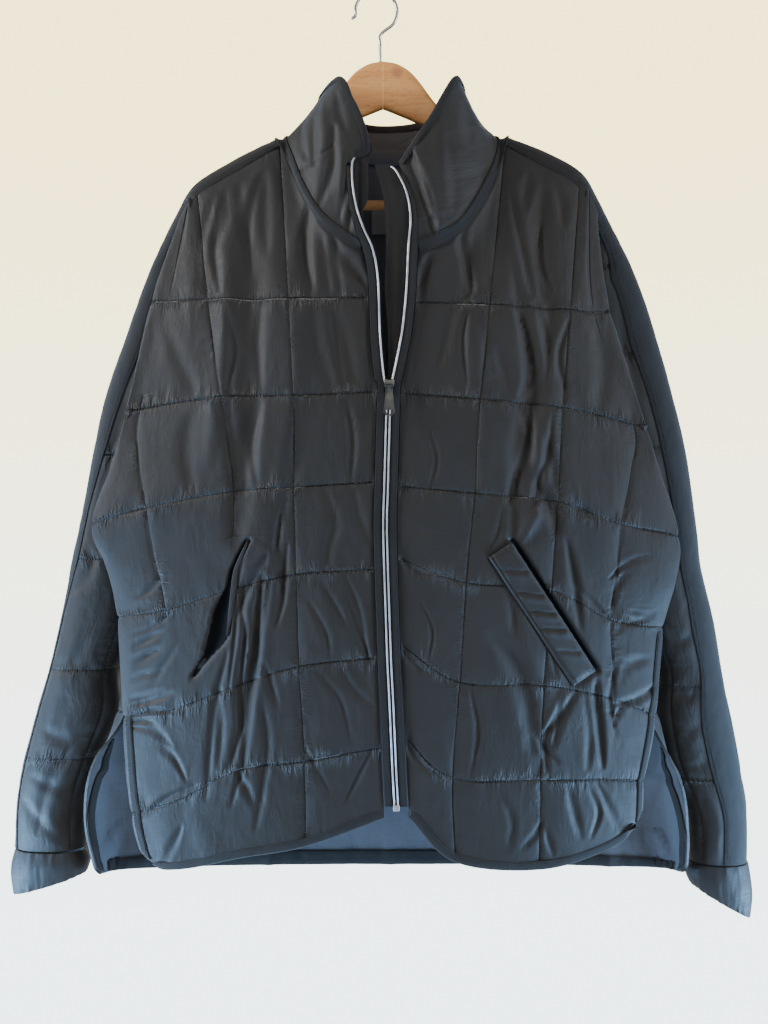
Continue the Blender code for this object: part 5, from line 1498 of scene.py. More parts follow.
def collar_cloth():
    """The collar's outer face from the left zip edge round the back to the right one."""
    stations = np.linspace(0, len(COLLAR) - 1, COLLAR_ROUND + 1)
    foot, top = (spline([station[end] for station in COLLAR], stations) for end in (0, 1))
    bulge = spline([[station[2]] for station in COLLAR], stations)
    away = (foot + top) / 2 - np.array(NECK_AXIS, float)
    away[:, 1] = 0
    away = unit(away)
    height = np.linalg.norm(foot - top, axis=1)
    share = np.linspace(0, 1, COLLAR_STEPS + 1) ** 1.15
    grid = []
    for part in share:
        at = part * (1 - FOOT_CLEAR / height)[:, None]
        grid.append(top + (foot - top) * at + away * bulge * np.sin(np.pi * at))
    grid = np.stack(grid)
    for column, edge, sign in ((0, ZIP_LEFT, -1), (-1, ZIP_RIGHT, 1)):
        fade = np.clip(1 - abs(stations - stations[column]), 0, 1)
        grid[:, :, 0] += np.outer(zip_shift(grid[:, column], edge, sign), fade)
    down = lengths(grid, 0)
    reach = np.interp(stations, (0, 0.5, 1, 2, 3), (23, 20, 15.5, 4.5, 0))
    falls = np.interp(stations, (0, 0.5, 1, 3), (9, 22, 36, 40))
    moved = reach * (1 - smooth(0, 1, down / falls))
    grid[:, :, 0] += moved
    grid[:, :, 1] -= moved * 0.22
    cloth = Cloth(grid, 1)
    x, drop, depth = np.moveaxis(cloth.grid, -1, 0)
    past = x - np.interp(drop, *zip(*COLLAR_TURN))
    front = smooth(10, 12, stations)[None, :] * smooth(262, 236, drop) * smooth(146, 172, drop)
    lip = 5.5 * smooth(-3.2, 2.2, past) * np.exp(-np.clip(past, 0, None) / 30)
    lip -= 1.6 * bell(past + 3.5, 4)
    height = front * lip + creases(cloth, "collar") * smooth(8, -8, depth) + 0.7 * crumple(cloth, 201, 0.8, 40.0)
    height = height * (1 - bell(down, 5)) * (1 - 0.7 * bell(down[-1:] - down, 6))
    away = drop - np.interp(x, *zip(*COLLAR_SEAM))
    first, last = COLLAR_SEAM[0][0], COLLAR_SEAM[-1][0]
    live = (depth < 0) * smooth(first - 2, first + 2, x) * smooth(last + 2, last - 2, x)
    # The first term darkens a line beside the right leaf's turn: painted shade in that crease, kept with the
    # thread's line.
    cloth.seam = np.maximum(0.85 * front * bell(past + 2.6, 1.7), 0.8 * bell(away, 1.3) * live)
    cloth.lift(height - bell(away, 2.2) * live)
    return cloth


def zip_line(edge, sign, offset_open, offset_closed, count):
    """A line beside the zip at even steps."""
    line = zip_side(edge, sign, offset_open, offset_closed)
    dense = spline(line, np.linspace(0, len(line) - 1, 60 * (len(line) - 1)))
    run = running(dense)
    even = np.linspace(0, run[-1], count)
    return np.stack([np.interp(even, run, dense[:, axis]) for axis in range(3)], axis=1)


# Tapes, bindings and the zip -----------------------------------------------------------------

HEM_WRAP = (
    (7.4, 0.3), (7.4, 0.9), (6.4, 1.25), (4.0, 1.35), (1.4, 1.3), (-0.3, 1.0), (-1.0, 0.2), (-1.2, -1.4),
    (-1.0, -3.0), (-0.2, -4.0), (1.4, -4.3), (6.0, -4.2), (6.0, -3.5), (0.9, -3.4), (-0.4, -2.8), (-0.4, -0.2),
    (0.6, 0.3),
)


def smoothed(values, rounds=6):
    """Values along a line with their small steps evened out; the ends stay."""
    for _ in range(rounds):
        values = np.concatenate([values[:1], (values[:-2] + 2 * values[1:-1] + values[2:]) / 4, values[-1:]])
    return values


def hem_binding(side):
    """The tape that wraps a front's lower edge."""
    cloth, count = front_cloth(side), 190
    at, last = np.linspace(0.0, 4.0, count), cloth.rows[-1]
    points, out = cloth.along(np.full(count, last), at)
    above, _ = cloth.along(np.full(count, last - 0.12), at)
    inwards = unit(np.cross(headings(points), out))
    inwards = inwards * np.sign(((above - points) * inwards).sum(axis=1))[:, None]
    points, out, inwards = smoothed(points), unit(smoothed(out, 12)), unit(smoothed(inwards, 12))
    inwards = inwards * (1 - 0.8 * bell(np.arange(count - 1, -1, -1), 6))[:, None]
    sweep(f"hem_tape_{side.name}", points, inwards, out, HEM_WRAP, "black twill", f"hem_binding_{side.name}")
    sew((points + inwards * 6.0)[:-8], out[:-8], 1.32)


def side_tape(side):
    """The tape along a front's edge at its vent."""
    cloth = front_cloth(side)
    start = 6.9 if side.sign < 0 else 5.95
    rows_at = np.linspace(start, 9 - HEM_BINDING_WIDTH / HEM_ROW_HEIGHT - 0.03, 120)
    points, out = cloth.at(rows_at, np.linspace(3.79, 4.0, 9))
    height = 1.35 - 0.55 * np.abs(np.linspace(-1, 1, 9)) ** 6 - 2.4 * bell(np.arange(120), 5.5)[:, None]
    face = layer(points, out, height[..., None], cloth.outward)
    shell(f"vent_edge_tape_{side.name}", face, FACE, "black twill", f"side_tape_{side.name}")
    for column in (3.82, 3.97):
        sew(*cloth.along(rows_at[9:], np.full(len(rows_at) - 9, column)), 1.4)


def back_trims():
    """The casing inside the back hem and the tapes inside its two vents."""
    cloth = back_cloth()
    inside = -(QUILTED + TAPE_CLEAR + BINDING)
    casing = CASING_WIDTH / HEM_ROW_HEIGHT
    columns_at = np.linspace(0.66, 7.34, 380)
    points, out = cloth.at(np.linspace(10 - casing, 9.995, 9), columns_at)
    pillow = 0.9 * np.sin(np.pi * np.linspace(0, 1, 9))[:, None, None] ** 0.5
    inner = points + out * (inside - pillow)
    face = layer(points, out, inside + FACE, 1)
    shell("hem_casing", face, FACE, "black twill", "back_hem_casing", inner=inner)
    line, out = cloth.along(np.full(380, 10 - casing * 0.88), columns_at)
    sew(line + out * inside, -out, 0.45)
    for name, turn, (first, last) in (("left", 1, (0.0, 0.35)), ("right", -1, (7.65, 8.0))):
        rows_at = np.linspace(7.5, 9.97, 110)
        inset = 0.5 * turn * smooth(9.3, 7.5, rows_at)
        points, out = cloth.along(rows_at[:, None] + np.zeros(9), np.linspace(first, last, 9) + inset[:, None])
        edge = 1 - np.abs(np.linspace(-1, 1, 9))[:, None] ** 6
        inner = points + out * (inside + 0.4 - 0.5 * edge)
        face = layer(points, out, -QUILTED - TAPE_CLEAR, 1)
        shell(f"vent_facing_{name}", face, FACE, "black twill", f"vent_tape_{name}", inner=inner)
        for share in (0.14, 0.86):
            line, out = cloth.along(rows_at, first + (last - first) * share + inset)
            sew(line + out * inside, -out, 0.15)


def strip(name, line, width, sign, thick, look, node, lift, pillow, across=9, behind=0.0):
    """A strip outwards from a line beside the zip, raised a little in its middle."""
    share = np.linspace(0, 1, across)
    grid = np.repeat(line[:, None], across, axis=1)
    grid[:, :, 0] += sign * np.outer(width, share)
    grid[:, :, 2] += behind
    cloth = Cloth(grid, -sign, columns=share)
    raised = pillow * (1 - np.abs(2 * share - 1) ** 5)
    ripple = 0.12 * noise(np.arange(len(line)) / 9, 3.0 * sign, 221)
    cloth.lift(lift + raised[None, :] + ripple[:, None])
    shell(name, cloth, thick, look, node)
    return cloth


def zip_half(side):
    """One side of the zip: placket strip, woven tape and bright coil. Gives the line of its teeth."""
    name, sign, edge = side.name, side.sign, side.zip
    line = zip_line(edge, sign, COIL_WIDTH / 2 + SEAM_GAP, CHAIN_WIDTH / 2 + SEAM_GAP, 260)[4:]
    width = placket_width(line[:, 1])
    node = f"placket_{name}"
    cloth = strip(f"zip_guard_{name}", line, width, sign, TWILL - 0.5, "black twill", node, -0.35, 0.5)
    for share, least in ((0.14, 2.0), (0.86, 4.5)):
        points, out = cloth.along(cloth.rows, np.full(len(line), share))
        sew(points[width > least], out[width > least])
    line = zip_line(edge, sign, -COIL_WIDTH / 2, SEAM_GAP / 2, 260)[4:]
    width = placket_width(line[:, 1]) + COIL_WIDTH - 0.8
    node = f"zip_tape_{name}"
    strip(f"zip_webbing_{name}", line, width, sign, ZIP_TAPE, "zip tape", node, 0.0, 0.15, 7, TAPE_BEHIND)
    line = zip_line(edge, sign, -0.1, CHAIN_WIDTH / 4 + 0.15, 460)
    half = 0.98 - 0.1 * smooth(376, 396, line[:, 1])
    curl = np.exp(-np.arange(len(line)) / 2.6)
    line = line + np.stack([-sign * 3.0 * curl, 0.6 * curl, 2.2 * curl], axis=1)
    way = headings(line)
    across = unit(np.cross(way, (0.0, 0.0, -1.0)))
    rings = swept(line, across * half[:, None], unit(np.cross(across, way)) * 0.75, round_profile(1.0, 10))
    tips = [ring.mean(axis=0) * 0.55 + 0.45 * ring for ring in (rings[0], rings[-1])]
    tips = [tip + 0.35 * (tip - rings[at]) for tip, at in zip(tips, (1, -2))]
    loft(f"zip_edge_{name}", np.concatenate([tips[:1], rings, tips[1:]]), "silver coil", f"coil_{name}")
    teeth = zip_line(edge, sign, -COIL_WIDTH / 2 + 0.15, 0.35, 460)[6:] + (0.0, 0.0, 0.75)
    return teeth, np.tile((0.0, 0.0, -1.0), (len(teeth), 1))


def tooth_rings():
    """One moulded tooth: a low rounded bar across the zip."""
    turn = math.radians(36)
    return [
        [
            (0.42 * size * math.cos(turn + at), place, 0.55 * size * math.sin(turn + at))
            for at in 2 * math.pi / 5 * np.arange(5)
        ]
        for place, size in ((-0.75, 0.45), (-0.45, 1.0), (0.45, 1.0), (0.75, 0.45))
    ]


def plate(outline, low, high):
    """Rings of a flat plate: an outline of (x, drop) pairs at two depths."""
    return [[(x, drop, y) for x, drop in outline] for y in (low, high)]


def mirrored(x, drop, right):
    """An outline from its right half, given as distances from x and below the drop."""
    return [(x + a, drop + b) for a, b in right] + [(x - a, drop + b) for a, b in right[::-1] if a]


def settle(piece, sharp):
    """Keeps what a piece's modifiers make of it, smooth up to an angle."""
    spent, piece.data = piece.data, evaluated(piece)
    bpy.data.meshes.remove(spent)
    piece.modifiers.clear()
    piece.data.shade_smooth()
    piece.data.set_sharp_from_angle(angle=math.radians(sharp))


def solid(name, rings, bevel=0.0, sharp=35, segments=2, look="gunmetal"):
    """A solid through rings of table points, with its edges rounded."""
    piece = build(name, ring_mesh(name, frame_points(rings)), look, sharp)
    if bevel:
        rounded = piece.modifiers.new("rounded edges", "BEVEL")
        rounded.width, rounded.segments = bevel * MM, segments
        rounded.angle_limit, rounded.limit_method = math.radians(sharp), "ANGLE"
        settle(piece, sharp)
    return piece


def join(target, others, operation="UNION"):
    """Joins solids to one, or cuts them from it, and keeps only the first."""
    for other in others:
        change = target.modifiers.new(operation.lower(), "BOOLEAN")
        change.operation, change.solver, change.object = operation, "EXACT", other
    settle(target, 35)
    for other in others:
        bpy.data.objects.remove(other, do_unlink=True)


def barrel(name, x, drop, y, half_length, radius):
    """A short pin across the zip."""
    circle = round_profile(radius, 28)
    return solid(name, [[(x + end, drop + a, y + b) for a, b in circle] for end in (-half_length, half_length)])


def pin_place():
    """x, drop and y of the slider's pin, and y of the face below it."""
    face = ZIP_CLOSED[0][2] - 1.2 - SLIDER_HEIGHT
    return ZIP_CLOSED[0][0], SLIDER_TOP + SLIDER_LENGTH * 0.6, face - 2.9, face


def slider():
    """The slider: a shield-shaped body with two lugs and the pin they hold."""
    x, drop, y, face = pin_place()
    top, bottom = SLIDER_WIDTH[0] / 2, SLIDER_WIDTH[1] / 2
    right = (
        (0.0, 1.2), (top * 0.45, 0.25), (top * 0.8, 0.0), (top, 1.4), (top, 4.0), (top * 0.9, 6.5),
        (bottom, 8.6), (bottom, 10.8), (bottom * 0.75, 12.0),
    )
    outline = mirrored(x, SLIDER_TOP, right)
    body = solid("slider_body", plate(outline, face, face + SLIDER_HEIGHT), 0.7, 30, 3)
    arc = [(drop + 1.7 * math.cos(a), y - 1.7 * math.sin(a)) for a in np.linspace(0, math.pi, 9)]
    lug = [(drop + 2.3, face + 0.6), *arc, (drop - 2.3, face + 0.6)]
    lugs = [
        solid("lug", [[(x + sign * part, *place) for place in lug] for part in (2.7, 3.9)]) for sign in (-1, 1)
    ]
    join(body, [*lugs, barrel("pin", x, drop, y, 3.3, PULL_PIN_RADIUS)])
    ride(body, "slider")


def pull_tab():
    """The pull tab: an eye round the pin, a plate that widens downwards and a window at its end."""
    x, drop, y, _ = pin_place()
    eye = barrel("pull_plate", x, drop, y, 2.2, 2.1)
    narrow, wide, long = PULL_WIDTH[0] / 2, PULL_WIDTH[1] / 2, PULL_LENGTH
    right = (
        (2.0, 0.6), (2.1, 3.2), (narrow, 5.2), (narrow + 0.25, 8.0), (wide - 0.1, long - 5.2),
        (wide, long - 3.9), (wide * 0.55, long - 0.35), (wide * 0.4, long),
    )
    half = PULL_THICKNESS / 2
    join(eye, [solid("flat", plate(mirrored(x, drop, right), y - half, y + half), 0.32, 30)])
    across, down = PULL_HOLE
    window = mirrored(x, drop + long - 1.7, ((across / 2 - 0.9, 0.0), (across / 2 + 0.9, 0.9 - down)))
    cutter = solid("window", plate(window, y - 3, y + 3))
    join(eye, [cutter, barrel("bore", x, drop, y, 4.0, PULL_PIN_RADIUS + 0.35)], "DIFFERENCE")
    ride(eye, "pull_tab", PULL)


def retainer():
    """The box that holds the zip's lower end."""
    x, drop, y = ZIP_CLOSED[-1]
    width, height, depth = RETAINER
    outline = mirrored(x, drop - 1.6, ((width / 2, 0.0), (width / 2, height)))
    made = solid("zip_stop", plate(outline, y - 1.4, y - 1.4 + depth), 0.7, 30, 3, "silver coil")
    ride(made, "zip_retainer")


# Pockets -------------------------------------------------------------------------------------


def welt_axes():
    """The start, the length and the two directions of the right pocket's welt in x and drop."""
    start, end = np.array(WELT, float)
    long = np.linalg.norm(end - start)
    way = (end - start) / long
    return start, long, way, np.array([way[1], -way[0]])


def pressed(side, x, drop):
    """How much the relief is pressed flat at a pocket, and how deep the pocket opens."""
    if side.sign > 0:
        start, long, way, across = welt_axes()
        apart = np.stack([x - start[0], drop - start[1]], axis=-1)
        u, v = apart @ way, apart @ across
        ends = smooth(-6, 1, u) * smooth(long + 6, long - 1, u)
        return ends * smooth(-16.5, -12.5, v) * smooth(21, 14, v), ends * 5.5 * bell(v - 15.6, 1.9)
    outer, inner = (np.interp(drop, *zip(*edge)) for edge in (GAP_OUTER, GAP_INNER))
    middle, half = (outer + inner) / 2, np.maximum((inner - outer) / 2, 0.01) + 0.6
    t = np.clip((x - middle) / half, -1, 1)
    within = smooth(541, 548, drop) * smooth(684, 676, drop)
    gap = within * (4.0 + 5.0 * smooth(1, 4, half)) * (1 - t**4)
    return within * smooth(outer - 2.5, outer - 0.5, x) * smooth(inner + 5.5, inner + 2.5, x), gap


def lie(cloth, x, drop):
    """Points of a front's unquilted surface at places given by x and drop, and their normals."""
    places = np.stack([x.ravel(), drop.ravel()], axis=1)
    low, high = places.min(axis=0) - 6, places.max(axis=0) + 6
    near = ((cloth.base[..., :2] > low) & (cloth.base[..., :2] < high)).all(axis=-1)
    near &= cloth.columns[None, :] <= 4.0
    points, out = cloth.base[near], cloth.base_out[near]
    found = np.concatenate([
        ((points[None, :, :2] - part[:, None]) ** 2).sum(axis=-1).argmin(axis=1)
        for part in np.array_split(places, max(1, len(places) // 400))
    ])
    point, normal = points[found], out[found]
    step = places - point[:, :2]
    depth = point[:, 2] - (step * normal[:, :2]).sum(axis=1) / normal[:, 2]
    normal = normal.reshape(*x.shape, 3)
    for _ in range(4):
        normal[1:-1] = (normal[:-2] + normal[1:-1] + normal[2:]) / 3
        normal[:, 1:-1] = (normal[:, :-2] + normal[:, 1:-1] + normal[:, 2:]) / 3
    return np.stack([x, drop, depth.reshape(x.shape)], axis=-1), unit(normal)


def laid(name, cloth, x, drop, height, thickness, look, node=None):
    """A piece laid on a front from grids of x, drop and height; its columns run away from the zip."""
    points, out = lie(cloth, x, drop)
    face = Cloth(points + out * height[..., None], cloth.outward)
    shell(name, face, thickness, look, node, inner=face.grid - out * thickness)
    return face


def right_pocket(cloth):
    """The right pocket: its creased welt, and the lining behind the gap, darkened as painted shade."""
    start, long, way, across = welt_axes()

    def places(us, vs):
        u, v = np.meshgrid(us, vs, indexing="ij")
        return u, v, *(start[axis] + u * way[axis] + v * across[axis] for axis in (0, 1))

    u, v, x, drop = places(np.linspace(0, long, 112), np.linspace(-13.5, 13.5, 25))
    from_end = np.minimum(u, long - u)
    away = np.minimum(from_end, 13.5 - np.abs(v))
    height = 1.0 + 3.4 * (1 - np.exp(-np.clip(away, 0, None) / 2.4)) + 0.3 * noise(u / 11, v / 8, 301)
    height += 0.8 * smooth(6, 12.5, v) - 1.1 * (bell(v + 10.2, 1.1) + 0.7 * bell(from_end - 3.4, 1.1))
    live = smooth(-11, -5, v) * smooth(13, 8, v)
    for at, lean, deep in ((22, 0.5, 1.3), (48, 0.65, 1.9), (70, 0.6, 2.1), (90, 0.5, 1.8), (116, 0.55, 1.2)):
        line = u - at - lean * (v + 6) - 1.6 * np.sin(v / 5)
        height += deep * (0.5 * bell(line - 5, 4.5) - bell(line, 2.2)) * live
    face = laid("pocket_flap_right", cloth, x, drop, height, 2.4, "padded nylon", "pocket_welt_right")
    for column in (2.2, 3.9):
        sew(*face.along(np.linspace(2, 109, 120), np.full(120, column)), 0.15)
    for row in (3.2, 107.8):
        sew(*face.along(np.full(24, row), np.linspace(2, 22, 24)), 0.15)
    u, v, x, drop = places(np.linspace(1, long - 1, 60), np.linspace(12.6, 17.6, 8))
    depth = -1.2 - 2.0 * np.sin(np.pi * np.linspace(0, 1, 8)) * smooth(0, 10, np.minimum(u, long - u))
    laid("pocket_bag_right", cloth, x, drop, np.where(v > 17, -0.8, depth), 0.8, "pocket lining")


def left_pocket(cloth):
    """The left pocket: the lining behind its gap, darkened as painted shade, and the lip beside it."""
    drops = np.linspace(541.5, 680, 96)
    outer, inner = (np.interp(drops, *zip(*edge)) for edge in (GAP_OUTER, GAP_INNER))
    outer, inner = np.minimum(outer, smoothed(outer, 14)), np.maximum(inner, smoothed(inner, 14))
    t = np.linspace(-1, 1, 13)
    x = (outer + inner)[:, None] / 2 - ((inner - outer) / 2 + 1.2)[:, None] * t
    depth = -1.4 - 4.2 * (1 - t**2) * smooth(0, 10, inner - outer)[:, None]
    laid("pocket_bag_left", cloth, x, drops[:, None] + 0 * x, depth, 0.8, "pocket lining")
    drops = np.linspace(543, 639, 80)
    first = smoothed(np.interp(drops, *zip(*GAP_INNER)), 14)
    second = first + 1.2 + 4.3 * smooth(0, 20, drops - 543) * smooth(-2, 26, 641 - drops)
    share = np.linspace(0, 1, 17)
    x = second[:, None] + (first - second)[:, None] * share
    drop = drops[:, None] + 0 * x
    rise = 1.9 * smooth(0.0, 0.45, share) * (1 - 0.7 * smooth(0.86, 1.0, share))
    rise = rise * smooth(0, 3, second - first)[:, None] - 0.3 + 0.25 * noise(drop / 14, x / 9, 311)
    laid("pocket_flap_left", cloth, x, drop, rise, 1.2, "padded nylon", "pocket_welt_left")


# Collar trims, label and hanger ---------------------------------------------------------------

COLLAR_WRAP = (
    (5.6, 0.3), (5.6, 0.9), (4.4, 1.3), (2.4, 1.4), (0.4, 1.2), (-0.9, 0.5), (-1.3, -0.8), (-1.4, -2.2),
    (-1.1, -3.9), (-0.2, -4.8), (1.6, -5.0), (5.2, -4.9), (5.2, -4.1), (0.9, -4.1), (-0.5, -3.4), (-0.5, -0.5),
    (0.6, 0.3),
)


def near_foot(cloth, distances):
    """Points and normals at distances above a cloth's last row."""
    down = lengths(cloth.grid, 0).T
    rows_at = np.stack([np.interp(line[-1] - np.array(distances), line, cloth.rows) for line in down], axis=1)
    return cloth.along(rows_at, cloth.columns + 0 * rows_at)


def collar():
    """The collar, the tape that binds its upper edge and the tape over its foot."""
    cloth = collar_cloth()
    shell("collar_stand", cloth, COLLAR_WALL, "padded nylon", "collar", skip=3, lining="lining")
    first = int(np.argmin(np.abs(lengths(cloth.grid, 0)[:, 0] - 12)))
    rim = [(row, 0) for row in range(first, 0, -1)] + [(0, column) for column in range(COLLAR_ROUND + 1)]
    lower = [(row, 4) if column == 0 and row > 2 else (row + 4, column) for row, column in rim]
    rim, lower = (tuple(zip(*places)) for places in (rim, lower))
    path, out = smoothed(cloth.grid[rim], 4), unit(smoothed(cloth.out[rim], 6))
    inwards = unit(smoothed(unit(cloth.grid[lower] - path), 8))
    way = headings(path)

    def square(values, to):
        return unit(values - to * (values * to).sum(axis=1, keepdims=True))

    inwards = square(inwards, way)
    out = square(square(out, way), inwards)
    sweep("collar_edge_tape", path, inwards, out, COLLAR_WRAP, "black twill", "collar_binding")
    sew(path + inwards * 4.6, out, 1.35)
    neckline_tape(cloth)


def neck_edge():
    """The panels' edge round the neck: points, outward normals and the way into the panels."""
    (left, right), behind = map(front_cloth, SIDES), back_cloth()
    first, last = (int(np.argmin(np.abs(left.columns - place))) for place in (0, 1))
    start, stop = (int(np.argmin(np.abs(behind.columns - place))) for place in (3, 5))

    def panel(cloth, columns):
        edge = cloth.base[0, columns]
        return edge, cloth.base_out[0, columns], unit(cloth.base[4, columns] - edge)

    def bridge(side):
        (x0, drop0, _), (x1, drop1, _) = side.ridge[:2]
        way = unit(np.array([x1 - x0, drop1 - drop0, 0.0]))
        up = np.array([way[1], -way[0], 0.0]) * side.sign
        angle = np.linspace(-1, 1, 21)[:: -side.sign] * math.radians(75)
        middle = np.array([x0, drop0, 0.0]) - up * (8.5 * (1 - np.cos(angle)))[:, None]
        out = unit(np.outer(np.cos(angle), up) + np.outer(np.sin(angle), (0, 0, 1)))
        return middle + np.outer(13.5 * np.sin(angle), (0, 0, 1)), out, np.tile(way, (21, 1))

    parts = (
        panel(left, slice(first, last)),
        bridge(SIDES[0]),
        panel(behind, slice(start + 1, stop)),
        bridge(SIDES[1]),
        panel(right, slice(last - 1, None, -1)),
    )
    points, out, inwards = (np.concatenate(kind) for kind in zip(*parts))
    return smoothed(points, 8), unit(smoothed(out, 20)), unit(smoothed(inwards, 20))


def neckline_tape(collar_face):
    """The tape over the seam of the collar and the panels."""
    edge, edge_out, inwards = neck_edge()
    run = running(edge)
    upper, upper_out = near_foot(collar_face, (NECK_TAPE_WIDTH - 1.0, NECK_TAPE_WIDTH / 2, 0.4))
    foot_run = running(upper[-1])
    at = np.interp(foot_run / foot_run[-1], run / run[-1], np.arange(len(run)))
    near = []
    for point, guess in zip(upper[-1], at):
        window = slice(max(0, int(guess) - 14), int(guess) + 15)
        near.append(window.start + int(np.argmin(np.linalg.norm(edge[window] - point, axis=1))))
    at = smoothed(np.maximum.accumulate(np.array(near, float)), 30)
    edge, edge_out, inwards = (spline(values, at) for values in (edge, edge_out, inwards))
    rows = [upper[at] + upper_out[at] * lift for at, lift in enumerate((1.5, 1.8, 1.7))]
    rows += [edge + inwards * along + edge_out * lift for along, lift in ((0.6, 1.6), (2.4, 1.4))]
    taped = Cloth(spline(rows, np.linspace(0, 4, 11)), 1)
    taped.seam[[0, -1]] = 0.7
    shell("neckline_tape", taped, FACE, "black twill", "neck_tape")
    for row in (2, 8):
        sew(taped.grid[row], taped.out[row])


def facing(side):
    """The twill facing behind the zip edge; on the left its upper edge is bound."""
    rows = np.array([[(left, drop, y), (right, drop, y)] for drop, left, right, y in side.facing], float)
    run = rows[:, 0, 1] - rows[0, 0, 1]
    count = int(run[-1] / 2.2)
    path = spline(rows, np.interp(np.linspace(0, run[-1], count), run, np.arange(len(rows))))
    share = np.linspace(0, 1, 17)
    cloth = Cloth(path[:, :1] + (path[:, 1:] - path[:, :1]) * share[None, :, None], -1)
    x, drop = cloth.grid[..., 0], cloth.grid[..., 1]
    height = 0.5 * noise(x / 9, drop / 40, 231) + 0.25 * noise(x / 4, drop / 17, 232)
    if side.sign < 0:
        edge = np.interp(drop, (133, 147, 160, 163), (-21.5, -14.5, -7, -6.5))
        inside = (edge - x) * 0.87
        live = smooth(166, 160, drop)
        height += live * (1.4 * smooth(6.2, 4.8, inside) - 0.2)
        cloth.seam = 0.8 * live * bell(inside - 5.9, 0.9)
        height -= 1.2 * bell(x + 21, 1.8) * smooth(166, 176, drop)
    cloth.lift(height)
    shell(f"zip_lining_{side.name}", cloth, FACE, "black twill", f"zip_facing_{side.name}")
    if side.sign > 0:
        sew(cloth.grid[4:-4, 3], cloth.out[4:-4, 3], 0.1)


def inner_neck_tape():
    """The tape inside the back of the neck, rolled over the seam."""
    line = spline(NECK_BACK, np.linspace(*INNER_NECK, 90))
    way = unit(np.gradient(line, axis=0) * (1, 0, 1))
    inward = np.stack([way[:, 2], 0 * way[:, 0], -way[:, 0]], axis=-1)
    share = np.linspace(-1, 1, 15)
    taper = 0.35 + 0.65 * np.sin(np.pi * np.linspace(0.02, 0.98, 90)) ** 0.6
    grid = np.repeat((line + inward * (COLLAR_WALL + 3.0))[None], 15, axis=0)
    grid[..., 1] += np.outer(share, taper) * INNER_NECK_WIDTH / 2 - 0.8
    grid += inward * (2.2 * (1 - np.abs(share) ** 3)[:, None] * taper)[..., None]
    grid[..., 1] += 0.6 * noise(grid[..., 0] / 11, share[:, None], 241)
    shell("neck_seam_tape", Cloth(grid, -1), FACE, "lining", "inner_neck_tape")


def label():
    """The label inside the back of the neck, left bare."""
    width, height = LABEL_SIZE
    x0, drop0 = LABEL_TOP
    base = back_cloth().base[: 3 * BACK_STEPS[0]].reshape(-1, 3)
    x, drop = np.meshgrid(
        np.linspace(x0 - width / 2, x0 + width / 2, 13), np.linspace(drop0, drop0 + height, 13)
    )
    places = zip(x.ravel(), drop.ravel())
    found = [int(np.argmin(((base[:, :2] - place) ** 2).sum(axis=1))) for place in places]
    depth = smoothed(base[found, 2].reshape(x.shape), 8)
    depth -= QUILTED + 3.0 + 0.5 * np.sin(x / 9) * (drop - drop0) / height
    shell("size_label", Cloth(np.stack([x, drop, depth], axis=-1), -1), 0.5, "grey label", "neck_label")


def hanger():
    """Two shaped wooden arms, the bar between them and the wire hook."""
    across, down = round_profile(1.0, 44).T
    across, down = np.sign(across) * np.abs(across) ** 0.55, np.sign(down) * np.abs(down) ** 0.42
    found = spline(HANGER_ARM, np.linspace(0, len(HANGER_ARM) - 1, 110))
    found[:, 0] = np.maximum.accumulate(np.maximum(found[:, 0], 0.02))
    found[:, 0] -= (found[0, 0] - 0.02) * np.exp(-found[:, 0] / 14)
    for side in SIDES:
        rings = []
        for reach, upper, lower, half in found:
            x = np.full(44, HANGER_MIDDLE + side.sign * reach)
            drop = (upper + lower) / 2 + (lower - upper) / 2 * down
            rings.append(np.stack([x, drop, half * across], axis=1))
        tip, ahead = rings[-1].mean(axis=0), np.array([side.sign, 0, 0])
        end = rings[-1] - tip
        rings += [tip + end * size + ahead * past for size, past in ((0.9, 0.8), (0.66, 1.5), (0.3, 1.9))]
        loft(f"wooden_arm_{side.name}", rings, "beech", f"hanger_arm_{side.name}", 40)
    circle = round_profile(BAR_RADIUS, 32)
    bar = [[(x, BAR_DROP + a, b) for a, b in circle] for x in np.linspace(*BAR_ENDS, 40)]
    loft("trouser_bar", bar, "beech", "hanger_bar", 40)
    x, drop, radius = HOOK_RING
    foot, neck = HOOK_STEM
    path = [(0.0, foot), (0.0, (foot + neck) / 2), (0.5, neck + 4)]
    for angle in np.radians(np.linspace(-42, HOOK_TIP_ANGLE, 15)):
        path.append((x + radius * math.cos(angle), drop - radius * math.sin(angle)))
    path.append((x - radius - 3.0, drop + 7.0))
    path = spline([(a, b, 0.0) for a, b in path], np.linspace(0, len(path) - 1, 150))
    way = headings(path)
    up = np.tile((0.0, 0.0, 1.0), (len(path), 1))
    rings = list(swept(path, np.cross(way, up), up, round_profile(HOOK_WIRE, 16)))
    end = rings[-1].mean(axis=0)
    rings += [end + (rings[-1] - end) * size + way[-1] * past for size, past in ((0.75, 0.9), (0.3, 1.4))]
    loft("wire_hook", rings, "hook steel", "hook", 40)


def sew_seams(cloth, seams):
    """Stitches a quilted panel along its seams."""
    for seam in seams:
        row, place, live = either_way(cloth, seam)
        at = (cloth.columns if row else cloth.rows)[live]
        held = np.full(len(at), float(place))
        sew(*(cloth.along(held, at) if row else cloth.along(at, held)))


